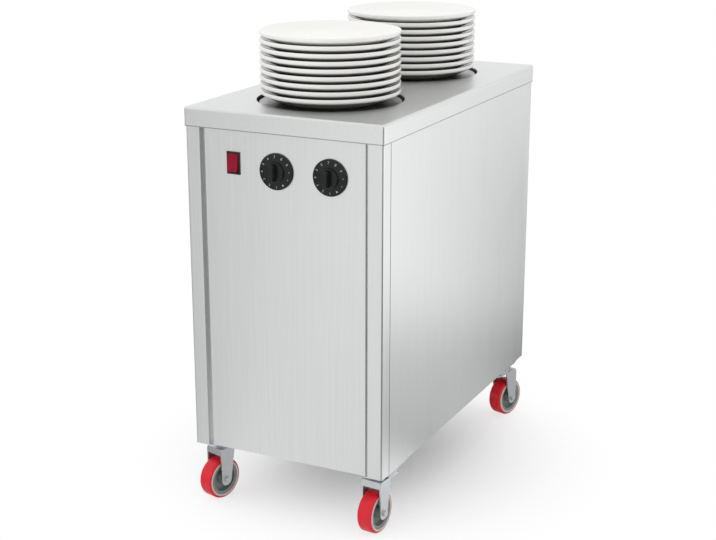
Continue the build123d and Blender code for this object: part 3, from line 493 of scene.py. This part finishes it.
class PLATEWARMER_OT_cabinet(bpy.types.Operator):
    """Finishes the deck, panels, posts and base pan in brushed stainless, grain along each sheet's length"""

    bl_idname = "platewarmer.cabinet"
    bl_label = "Cabinet Sheets"

    def execute(self, context):
        steel = context.scene.warmer_steel
        grain = (steel.grain_width, steel.grain_length)
        panels = ("front_panel", "rear_panel", "front_post_left", "front_post_right", "side_panel_left",
                  "side_panel_right")
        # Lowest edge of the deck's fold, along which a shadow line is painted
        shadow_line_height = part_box("top_deck")[0][2]
        for name, axis, edge, nodes in (
                ("upright grain", 2, None, panels), ("lengthwise grain", 1, None, ["base_pan"]),
                ("folded deck with painted shadow line", 1, shadow_line_height, ["top_deck"])):
            sheet = material(f"Brushed stainless, {name}", brushed_stainless, steel.sheet, axis, *grain, edge)
            dress(sheet, *nodes)
        return {"FINISHED"}


class PLATEWARMER_OT_inside(bpy.types.Operator):
    """Finishes the wells, carriers, springs, heaters, thermostats and terminals inside the cabinet"""

    bl_idname = "platewarmer.inside"
    bl_label = "Inner Works"

    def execute(self, context):
        in_wells = ("well_tube", "spring_hangers", "platform", "carrier_brackets")
        dress(material("Mill-finish stainless", mill_stainless, context.scene.warmer_steel.inner),
              "rear_post_left", "rear_post_right", "base_rail_front", "base_rail_rear", "heater_stands",
              *[f"{part}_{well}" for well in WELLS for part in in_wells])
        for part, name, surface in (
                ("carrier_springs", "Spring steel wire", spring_wire),
                ("heater", "Heat-tinted heater sheath", heated_sheath),
                ("capillary", "Drawn copper", drawn_copper)):
            dress(material(name, surface), *[f"{part}_{well}" for well in WELLS])
        cream = material("Cream terminal moulding", moulded_plastic, linear("dcd8cc"), 0.45, 0.8 * MM, 0.03)
        dress(cream, "terminal_block")
        moulding = context.scene.warmer_controls.moulding
        dress(material("Black phenolic moulding", moulded_plastic, moulding, 0.45, 0.8 * MM),
              "thermostat_left", "thermostat_right", "cable_gland")
        return {"FINISHED"}


class PLATEWARMER_OT_plates(bpy.types.Operator):
    """Builds the two stacks of porcelain plates as turned profiles"""

    bl_idname = "platewarmer.plates"
    bl_label = "Plate Stacks"

    SEGMENTS = 144
    FLAT = 40 * MM  # radius of the flat middle, which one fan of faces closes
    FOOT_DRAFT, FOOT_CUTS = MM, (2 * MM, 1.5 * MM)  # slope and roundings of the foot's inner side
    FOOT_LIFT = 0.02  # where the underside leaves the foot, as a share of its height
    RIM_CUTS = (3 * MM, 3 * MM)  # how far the rim's roundings reach
    LIT_EDGE = MM  # how far in from the rim the shade of a gap starts

    def execute(self, context):
        s = context.scene.warmer_plates
        glaze = material("Glazed hotel porcelain, painted gap shade", glazed_porcelain, s.glaze, s.gap)
        pitch = s.foot_height + s.floor
        rings = lathe(self.profile(s), self.SEGMENTS)
        for well in WELLS:
            solid = f"plates_{well}"
            foot = np.array([*middle(solid)[:2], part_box(solid)[0][2]])
            verts, faces = joined([closed(rings + foot + [0, 0, i * pitch]) for i in range(s.count)])
            # Painted shade: each vertex's share of the gap colour, from none at the rim to all a shade width
            # in
            inside = s.diameter / 2 - self.LIT_EDGE - np.hypot(*(verts - foot)[:, :2].T)
            gap_shade_share = np.clip(inside / s.shade_width, 0, 1)
            open_above = foot[2] + s.count * pitch - s.floor / 2  # half way through the top plate's floor
            gap_shade_share[verts[:, 2] > open_above] = 0
            stack = piece(f"porcelain_stack_{well}", (verts, faces), f"plate_stack_{well}",
                          glaze)
            stack.data.attributes.new("between", "FLOAT", "POINT").data.foreach_set("value", gap_shade_share)
            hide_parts(solid)
        return {"FINISHED"}

    def profile(self, s):
        """Profile of one plate from the middle of its underside out to the rim and back over its face.
        Outside the foot the underside bows up as share^1.25 of its height, and the face dishes up to the rim
        as share^1.3, where share is the part of the way from the foot to the rim."""
        radius, pitch = s.diameter / 2, s.foot_height + s.floor
        edge = pitch + s.rise
        foot_in = s.foot_radius - s.foot_width
        foot = rounded(
            [(self.FLAT, s.foot_height), (foot_in, s.foot_height), (foot_in + self.FOOT_DRAFT, 0),
             (s.foot_radius, 0)], self.FOOT_CUTS, 4)
        share = np.linspace(0, 1, 13)
        reach = s.foot_radius + (radius - s.foot_radius) * share
        bow = self.FOOT_LIFT + (1 - self.FOOT_LIFT) * share ** 1.25
        under = np.stack([reach, (edge - s.rim_thickness) * bow], -1)
        face = np.stack([reach, pitch + s.rise * share ** 1.3], -1)[::-1]
        rim = rounded([under[-2], under[-1], face[0], face[1]], self.RIM_CUTS)
        return np.concatenate([foot[:-1], under[:-2], rim, face[2:], [(self.FLAT, pitch)]])


class PLATEWARMER_OT_knobs(bpy.types.Operator):
    """Builds the two dial knobs, turned skirt and moulded grip, with printed numbers round the skirt"""

    bl_idname = "platewarmer.knobs"
    bl_label = "Dial Knobs"

    # Heights above the front panel
    BACK, EDGE = MM, 4 * MM  # the skirt's back and the front of its edge
    HUB_FOOT, HUB_TOP, CROWN = 7 * MM, 12.2 * MM, 12.4 * MM
    HOLLOW_END, BORE_END = 9 * MM, 11 * MM  # ends of the hollow in the back and of the shaft's bore
    GRIP_FOOT = 11.5 * MM  # sunk a little into the hub
    PRINT = 4.02 * MM  # back of the print at the skirt's edge
    # Radii
    HOLLOW, BORE = 12 * MM, 3.05 * MM
    BORE_FAN, CROWN_FAN = 1.5 * MM, 5 * MM  # where one fan of faces closes each end
    DIAL = 30.5 * MM  # circle on which the marks stand
    ZERO_DOT, END_DOT = 1.9 * MM, 0.9 * MM
    # Other sizes
    SKIRT_SEGMENTS, GRIP_SEGMENTS, DOT_SEGMENTS = 96, 64, 20
    HUB_DRAFT = 0.4 * MM  # how far the hub draws in to its top
    CUTS = np.array([0.3, 0.3, 0.3, 0.3, 0.6, 0.9, 1.4, 1.8]) * MM  # roundings along the skirt's profile
    GRIP_HEIGHT, GRIP_ROUND = 14 * MM, 3 * MM
    GRIP_DRAFT = math.tan(math.radians(4))
    INK = 0.12 * MM  # thickness of the print
    MARKS, FIGURES = 12, range(1, 10)  # places round the dial, and those with a number
    DIGIT = 0.7  # height of a digit as a share of its font size

    def execute(self, context):
        s = context.scene.warmer_controls
        black = material("Black moulded knob", moulded_plastic, s.moulding, 0.3, 0.9 * MM, 0.12, 0.25)
        ink = material("White dial print", moulded_plastic, s.ink, 0.5, 0.5 * MM, 0.04)
        shapes = (lathe(self.skirt(s), self.SKIRT_SEGMENTS), self.grip(s))
        for side in SIDES:
            solid = f"knob_{side}"  # the node, and the body that it turns with
            place = middle(solid)
            place[1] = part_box(solid)[1][1] + self.BACK
            skins = [closed(stand_out(rings, place)) for rings in shapes]
            knob = piece(f"dial_knob_{side}", joined(skins), solid, black, sharp=50)
            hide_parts(solid)
            piece(f"dial_print_{side}", self.marks(s, place), solid, ink, sharp=30)
        return {"FINISHED"}

    def skirt(self, s):
        """Profile of the turned part: from the end of the shaft's bore out over the hollow back, round the
        skirt's edge and up its cone to the hub and its crown."""
        radius, hub = s.skirt_diameter / 2, s.hub_radius
        return rounded(
            [(self.BORE_FAN, self.BORE_END), (self.BORE, self.BORE_END), (self.BORE, self.HOLLOW_END),
             (self.HOLLOW, self.HOLLOW_END), (self.HOLLOW, self.BACK), (radius, self.BACK),
             (radius, self.EDGE), (hub, self.HUB_FOOT), (hub - self.HUB_DRAFT, self.HUB_TOP),
             (self.CROWN_FAN, self.CROWN)], self.CUTS)

    def grip(self, s):
        """Rings of the grip: a stadium of half width w(z) whose ends are half circles, drawn in by the
        mould's draft as it rises and by a quarter round at its top."""
        straight = self.GRIP_HEIGHT - self.GRIP_ROUND
        a = np.linspace(0, 2 * np.pi, self.GRIP_SEGMENTS, endpoint=False)
        run = s.grip_length / 2 - s.grip_width / 2
        up = np.linspace(0, 1, 5) * straight
        turn = np.linspace(0, np.pi / 2, 6)[1:]
        z = np.concatenate([up, straight + self.GRIP_ROUND * np.sin(turn)])
        inset = np.concatenate(
            [self.GRIP_DRAFT * up, self.GRIP_DRAFT * straight + self.GRIP_ROUND * (1 - np.cos(turn))])
        w = (s.grip_width / 2 - inset)[:, None]
        x = w * np.cos(a)
        y = w * np.sin(a) + run * np.sign(np.round(np.sin(a), 6))
        return np.stack([x, y, self.GRIP_FOOT + z[:, None] + 0 * a], -1)

    def marks(self, s, place):
        """Zero dot, numbers and end dots at even steps round the skirt, as thin prints on its cone: each flat
        mark moves out to the dial's circle, turns clockwise by its angle and is lifted by the cone's slope
        times its distance from the edge."""
        radius = s.skirt_diameter / 2
        slope = (self.HUB_FOOT - self.EDGE) / (radius - s.hub_radius)
        skins = []
        for i in range(self.MARKS):
            turn = s.first_mark + i * math.tau / self.MARKS
            if i in self.FIGURES:
                verts, faces = self.figure(str(i), s.figure_height)
            else:
                verts, faces = self.dot(self.END_DOT if i else self.ZERO_DOT)
            across, out = verts[:, 0], verts[:, 1] + self.DIAL
            x = across * math.cos(turn) + out * math.sin(turn)
            y = out * math.cos(turn) - across * math.sin(turn)
            lift = self.PRINT + slope * (radius - np.hypot(x, y)) + verts[:, 2]
            skins.append((stand_out(np.stack([x, y, lift], -1), place), faces))
        return joined(skins)

    def dot(self, size):
        """A round print: two rings of a disc, a print's thickness apart."""
        a = np.linspace(0, 2 * np.pi, self.DOT_SEGMENTS, endpoint=False)
        ring = np.stack([size * np.cos(a), size * np.sin(a), 0 * a], -1)
        return closed(np.stack([ring, ring + [0, 0, self.INK]]))

    def figure(self, word, size):
        """A number as a thin slab, centred, made a mesh from a text curve."""
        text = bpy.data.curves.new("figure", "FONT")
        text.body, text.size, text.extrude = word, size / self.DIGIT, self.INK / 2
        text.align_x, text.align_y, text.resolution_u = "CENTER", "CENTER", 3
        holder = bpy.data.objects.new("figure", text)
        bpy.context.scene.collection.objects.link(holder)
        mesh = bpy.data.meshes.new_from_object(holder.evaluated_get(bpy.context.evaluated_depsgraph_get()))
        verts = np.empty(len(mesh.vertices) * 3)
        mesh.vertices.foreach_get("co", verts)
        verts = verts.reshape(-1, 3)
        verts -= [*(verts[:, :2].min(0) + verts[:, :2].max(0)) / 2, -self.INK / 2]
        faces = [list(p.vertices) for p in mesh.polygons]
        bpy.data.objects.remove(holder)
        bpy.data.curves.remove(text)
        bpy.data.meshes.remove(mesh)
        return verts, faces


class PLATEWARMER_OT_switch(bpy.types.Operator):
    """Builds the dished red rocker and finishes its housing"""

    bl_idname = "platewarmer.switch"
    bl_label = "Rocker Switch"

    SEGMENTS = 72
    TIP = math.radians(-8)  # how the rocker stands at rest
    BACK, BACK_INSET = -5.5 * MM, 1.8 * MM  # its back from the pivot, and how far that draws in
    FACE, DISH = 7.6 * MM, 1.8 * MM  # its face from the pivot, and how far the ends rise above it
    EDGE = 1.1 * MM  # rounding of the face's edge

    def execute(self, context):
        s = context.scene.warmer_controls
        dress(material("Black switch housing", moulded_plastic, s.moulding, 0.4, 0.8 * MM), "switch_housing")
        red = material("Red tinted polycarbonate", tinted_polycarbonate, s.rocker)
        x, y, z = np.moveaxis(self.rocker(s.rocker_width / 2, s.rocker_height / 2), -1, 0)
        cos, sin = math.cos(self.TIP), math.sin(self.TIP)
        rings = np.stack([x, y * cos - z * sin, y * sin + z * cos], -1)
        skin = closed(stand_out(rings, np.array(JOINTS["rocker_tip"]["pos_m"])))
        rocker = piece("red_rocker", skin, "rocker", red, sharp=50)
        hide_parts("switch_rocker")
        return {"FINISHED"}

    def rocker(self, half_w, half_h):
        """Rings of the rocker: a rounded rectangle, |x/w|^9 + |y/h|^9 = 1, carried up from the back past the
        pivot to the face z = FACE + DISH |y/h|^1.5, round its edge, and in over the dished face to the
        middle. Each ring draws in by an inset, in y as much as in x round the edge and in proportion
        elsewhere."""
        a = (np.arange(self.SEGMENTS) + 0.5) * 2 * np.pi / self.SEGMENTS
        shape = [np.sign(f) * np.abs(f) ** (2 / 9) for f in (np.cos(a), np.sin(a))]
        turn = np.linspace(0, np.pi / 2, 6)
        over = np.linspace(0.15, 0.97, 7)  # shares of the way in over the face
        edge = slice(2, 2 + len(turn))
        inset = np.concatenate([
            [self.BACK_INSET, 0], self.EDGE * (1 - np.cos(turn)), self.EDGE + (half_w - self.EDGE) * over])
        drop = np.concatenate([[0, 0], self.EDGE * (1 - np.sin(turn)), 0 * over])
        tall = np.maximum(half_h - inset * half_h / half_w, 0.02 * half_h)
        tall[edge] = half_h - inset[edge]
        x = shape[0] * (half_w - inset)[:, None]
        y = shape[1] * tall[:, None]
        z = self.FACE + self.DISH * np.abs(y / half_h) ** 1.5 - drop[:, None]
        z[0], z[1] = self.BACK, 0
        return np.stack([x, y, z], -1)


class PLATEWARMER_OT_casters(bpy.types.Operator):
    """Finishes the forks, wheels and fixings, and adds the swivel races' covers and the wheels' beads"""

    bl_idname = "platewarmer.casters"
    bl_label = "Casters"

    PLATE = 4.2 * MM  # gauge of the caster plate above the race
    SEGMENTS = 72
    RACE_BORE = 26.1 * MM  # radius inside the race's cover, just clear of the race
    BEAD_FOOT, BEAD_FACE = 14 * MM, 17.3 * MM  # the bead's back and face, from the wheel's middle

    def execute(self, context):
        s = context.scene.warmer_casters
        zinc = material("Bright zinc plate", zinc_plate, context.scene.warmer_steel.zinc)
        dress(zinc, "caster_top_plates", "kingpins", "caster_bolts", "rear_panel_screws", "thermostat_nuts",
              "thermostat_shaft_left", "thermostat_shaft_right",
              *[f"{part}_{c}" for c in CASTERS for part in ("fork", "axle")])
        dress(material("Grey polyamide core", moulded_plastic, s.core, 0.42, 1.2 * MM, 0.05),
              *[f"wheel_core_{c}" for c in CASTERS])
        dress(material("Red cast polyurethane", cast_polyurethane, s.tyre), *[f"tyre_{c}" for c in CASTERS])
        cover = lathe(self.cover(s), self.SEGMENTS)
        skins = [hooped(cover + [*JOINTS[f"caster_{c}_swivel"]["pos_m"][:2], 0]) for c in CASTERS]
        piece("swivel_race_covers", joined(skins), "cabinet", zinc, sharp=45)
        pale = material("Pale polyamide bead", moulded_plastic, s.bead, 0.4, 0.9 * MM, 0.03)
        for c in CASTERS:
            skins = [hooped(self.bead(s, JOINTS[f"wheel_{c}_roll"], side)) for side in (-1, 1)]
            piece(f"wheel_beads_{c}", joined(skins), f"wheel_{c}", pale, sharp=45)
        return {"FINISHED"}

    def cover(self, s):
        """Closed profile of a race's pressed cover: two rings with a waist between them."""
        low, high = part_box("caster_top_plates")
        low, high = low[2], high[2] - self.PLATE
        foot, waist, r = low + 0.5 * MM, (low + high) / 2, s.race_radius
        return rounded(
            [(self.RACE_BORE, high), (self.RACE_BORE, foot), (r - 3 * MM, foot), (r - 2 * MM, waist - MM),
             (r - 4 * MM, waist), (r, waist + MM), (r - MM, high), (self.RACE_BORE, high)],
            np.array([0.4, 1.2, 0.6, 0.6, 1.0, 0.4]) * MM, 4)

    def bead(self, s, roll, side):
        """Rings of the bead on one side of a wheel: a flat band turned about the axle, its face a little
        proud of the tyre's side. The point (r cos a, r sin a, t) goes to the wheel's centre plus t along the
        axle, r cos a across it and r sin a up."""
        inner, out = s.bead_radius - s.bead_width, s.bead_radius
        band = rounded(
            [(inner, self.BEAD_FOOT), (inner, self.BEAD_FACE), (out, self.BEAD_FACE), (out, self.BEAD_FOOT),
             (inner, self.BEAD_FOOT)], np.array([0.8, 0.8, 0.3]) * MM, 4)[::-1]
        along = np.array(roll["axis"]) * side
        up = np.array([0, 0, 1])
        axes = np.stack([np.cross(up, along), up, along])
        return np.array(roll["pos_m"]) + lathe(band, self.SEGMENTS) @ axes


class PLATEWARMER_OT_studio(bpy.types.Operator):
    """Sets the pale floor, the soft key lamp, the white surround and the camera"""

    bl_idname = "platewarmer.studio"
    bl_label = "Studio"

    SEGMENTS = 96
    KEY_AIM = (0, 0, 0.55)
    DISC = np.array([(0.1, -0.02), (16, -0.02), (16, 0), (4, 0), (1, 0), (0.1, 0)])  # floor's profile, metres
    FOOTPRINT = (0.22, 0.41)  # half the cabinet's width and depth
    # Lobes of painted shade and light on the floor in mirrors: the setting that each takes, its way in
    # degrees from the front towards the right, and the cosines off that way at which it starts and is full
    LOBES = (("room", 48, 0.72, 0.9), ("corner", -120, -0.05, 0.35), ("lee", 140, 0.5, 0.9),
             ("beside", 95, 0.9, 0.98), ("right", 110, 0.55, 0.85), ("left", -60, 0.8, 0.9),
             ("back", 170, 0.9, 0.98))
    # Lobes that change from one distance in metres to another, and their levels there, None for the setting
    FADES = {"room": (0.5, 1, 1, None), "lee": (0.9, 1.5, None, 1), "back": (2.6, 5.9, None, 0.9),
             "left": (1, 4, 0.72, None), "beside": (0.45, 0.9, None, 1)}

    def execute(self, context):
        scene = context.scene
        s = scene.warmer_studio
        scene.view_settings.view_transform = "Standard"
        self.floor(s)
        self.surround(scene, s)
        self.lamp("Key", s.key, s.key_size, s.key_place, self.KEY_AIM)
        camera = bpy.data.cameras.new("Camera")
        camera.lens, camera.sensor_width, camera.clip_end = s.lens, 36, 100
        holder = bpy.data.objects.new("Camera", camera)
        holder.location = s.camera_place
        holder.rotation_euler = (math.pi / 2 - s.camera_dip, 0, s.camera_turn)
        scene.collection.objects.link(holder)
        scene.camera = holder
        return {"FINISHED"}

    def seen(self, tree):
        """Two sockets: 1 for rays straight from the camera, and 1 for rays that metal, glaze or glass sends
        on."""
        path = node(tree, "ShaderNodeLightPath").outputs
        sent = node(tree, "ShaderNodeMath", {
            0: path["Is Glossy Ray"], 1: path["Is Transmission Ray"]}, operation="MAXIMUM").outputs[0]
        first = node(tree, "ShaderNodeMath", {
            0: path["Diffuse Depth"], 1: 0.5}, operation="LESS_THAN").outputs[0]
        sent = node(tree, "ShaderNodeMath", {0: sent, 1: first}, operation="MULTIPLY").outputs[0]
        return path["Is Camera Ray"], sent

    def graded(self, tree, s, place, far):
        """The floor's glow in mirrors, with painted shade and light: it grows with the distance from the
        middle, is multiplied by a lobe's level as the way from the middle turns to that lobe's, and is dimmer
        under the object, a painted shadow."""
        grade = node(tree, "ShaderNodeMapRange", {
            "Value": far, "From Min": 0.5, "From Max": 3.4, "To Min": 0.89, "To Max": 1.1},
            interpolation_type="SMOOTHSTEP").outputs[0]
        way = node(tree, "ShaderNodeVectorMath", {0: place}, operation="NORMALIZE").outputs["Vector"]
        for name, turn, start, full in self.LOBES:
            level = getattr(s, name)
            if name in self.FADES:
                near, end, first, last = self.FADES[name]
                level = node(tree, "ShaderNodeMapRange", {
                    "Value": far, "From Min": near, "From Max": end,
                    "To Min": level if first is None else first,
                    "To Max": level if last is None else last}).outputs[0]
            aim = (math.sin(math.radians(turn)), -math.cos(math.radians(turn)), 0)
            facing = node(tree, "ShaderNodeVectorMath", {
                0: way, 1: aim}, operation="DOT_PRODUCT").outputs["Value"]
            lobe = node(tree, "ShaderNodeMapRange", {
                "Value": facing, "From Min": start, "From Max": full, "To Min": 1, "To Max": level},
                interpolation_type="SMOOTHSTEP").outputs[0]
            grade = node(tree, "ShaderNodeMath", {0: grade, 1: lobe}, operation="MULTIPLY").outputs[0]
        reach = node(tree, "ShaderNodeVectorMath", {0: place}, operation="ABSOLUTE").outputs["Vector"]
        sides = node(tree, "ShaderNodeSeparateXYZ", {0: reach}).outputs
        # Painted shadow: mirrors see the floor dimmed to the under level beneath the cabinet's footprint
        clear = [node(tree, "ShaderNodeMapRange", {
            "Value": side, "From Min": half - 0.06, "From Max": half + 0.04, "To Min": s.under, "To Max": 1},
            interpolation_type="SMOOTHSTEP").outputs[0] for side, half in zip(sides, self.FOOTPRINT)]
        clear = node(tree, "ShaderNodeMath", {0: clear[0], 1: clear[1]}, operation="MAXIMUM").outputs[0]
        return node(tree, "ShaderNodeMath", {0: grade, 1: clear}, operation="MULTIPLY").outputs[0]

    def floor(self, s):
        """A thin disc turned from a profile."""
        verts, faces = closed(lathe(self.DISC, self.SEGMENTS))
        mesh = bpy.data.meshes.new("Floor")
        mesh.from_pydata(verts.tolist(), [], faces)
        mesh.materials.append(material("Pale studio floor", self.painted_board, s))
        floor = bpy.data.objects.new("Floor", mesh)
        bpy.context.scene.collection.objects.link(floor)

    def painted_board(self, tree, place, s):
        """Matt white paint on board, with specks 4 mm across. Near the object it is plain and lit, and
        further off it turns white to the camera. Mirrors see it as a glow with painted shade and light."""
        far = node(tree, "ShaderNodeVectorMath", {0: place}, operation="LENGTH").outputs["Value"]
        camera, sent = self.seen(tree)
        spread = node(tree, "ShaderNodeMapRange", {
            "Value": far, "From Min": 0.05, "From Max": 0.6}, interpolation_type="SMOOTHSTEP").outputs[0]
        white = node(tree, "ShaderNodeMath", {0: spread, 1: camera}, operation="MULTIPLY").outputs[0]
        _, shade = clouds(tree, place, 4 * MM, (tint(s.floor, 0.985), tint(s.floor)))
        lit = node(tree, "ShaderNodeBsdfPrincipled", {"Base Color": shade, "Roughness": 0.9}).outputs[0]
        plain = node(tree, "ShaderNodeEmission", {"Color": (1, 1, 1, 1), "Strength": 1}).outputs[0]
        mirrored = node(tree, "ShaderNodeEmission", {
            "Color": (1, 1, 1, 1), "Strength": self.graded(tree, s, place, far)}).outputs[0]
        both = node(tree, "ShaderNodeMixShader", {0: white, 1: lit, 2: plain}).outputs[0]
        return node(tree, "ShaderNodeMixShader", {0: sent, 1: both, 2: mirrored}).outputs[0]

    def surround(self, scene, s):
        """Soft light that grows from the horizon to overhead. The camera and mirrors see plain white all
        round."""
        world = bpy.data.worlds.new("Studio")
        world.use_nodes = True
        tree = world.node_tree
        tree.nodes.clear()
        way = node(tree, "ShaderNodeTexCoord").outputs["Generated"]
        height = node(tree, "ShaderNodeSeparateXYZ", {0: way}).outputs["Z"]
        soft = node(tree, "ShaderNodeMapRange", {
            "Value": height, "From Min": 0, "From Max": 1,
            "To Min": s.horizon, "To Max": s.zenith}).outputs[0]
        camera, sent = self.seen(tree)
        seen = node(tree, "ShaderNodeMath", {0: camera, 1: sent}, operation="MAXIMUM").outputs[0]
        lit = node(tree, "ShaderNodeBackground", {"Color": (1, 1, 1, 1), "Strength": soft}).outputs[0]
        white = node(tree, "ShaderNodeBackground", {"Color": (1, 1, 1, 1), "Strength": 1}).outputs[0]
        both = node(tree, "ShaderNodeMixShader", {0: seen, 1: lit, 2: white}).outputs[0]
        node(tree, "ShaderNodeOutputWorld", {"Surface": both})
        scene.world = world

    def lamp(self, name, power, size, place, aim):
        """A square softbox at a place, turned to an aim. Neither the camera nor mirrors see it."""
        light = bpy.data.lights.new(name, "AREA")
        light.energy, light.size = power, size
        holder = bpy.data.objects.new(name, light)
        holder.location = place
        holder.rotation_euler = (Vector(aim) - Vector(place)).to_track_quat("-Z", "Y").to_euler()
        holder.visible_camera = holder.visible_glossy = False
        bpy.context.scene.collection.objects.link(holder)


class PLATEWARMER_PT_panel(bpy.types.Panel):
    bl_idname = "PLATEWARMER_PT_panel"
    bl_label = "Plate Warmer"
    bl_space_type = "VIEW_3D"
    bl_region_type = "UI"
    bl_category = "Plate Warmer"

    def draw(self, context):
        for operator in OPERATORS:
            self.layout.operator(operator.bl_idname)
        for name, group in GROUPS.items():
            box = self.layout.box()
            box.label(text=group.__doc__)
            for key in group.__annotations__:
                box.prop(getattr(context.scene, name), key)


GROUPS = {
    "warmer_plates": PlateSettings,
    "warmer_controls": ControlSettings,
    "warmer_steel": SteelSettings,
    "warmer_casters": CasterSettings,
    "warmer_studio": StudioSettings,
}
OPERATORS = (
    PLATEWARMER_OT_studio,
    PLATEWARMER_OT_cabinet,
    PLATEWARMER_OT_inside,
    PLATEWARMER_OT_casters,
    PLATEWARMER_OT_plates,
    PLATEWARMER_OT_knobs,
    PLATEWARMER_OT_switch,
)


def register():
    for cls in (*GROUPS.values(), *OPERATORS, PLATEWARMER_PT_panel):
        bpy.utils.register_class(cls)
    for name, group in GROUPS.items():
        setattr(bpy.types.Scene, name, PointerProperty(type=group))


def unregister():
    for name in GROUPS:
        delattr(bpy.types.Scene, name)
    for cls in (PLATEWARMER_PT_panel, *reversed(OPERATORS), *reversed(GROUPS.values())):
        bpy.utils.unregister_class(cls)


def main():
    register()
    bpy.ops.platewarmer.studio()
    bpy.ops.platewarmer.cabinet()
    bpy.ops.platewarmer.inside()
    bpy.ops.platewarmer.casters()
    bpy.ops.platewarmer.plates()
    bpy.ops.platewarmer.knobs()
    bpy.ops.platewarmer.switch()


if __name__ == "__main__":
    main()
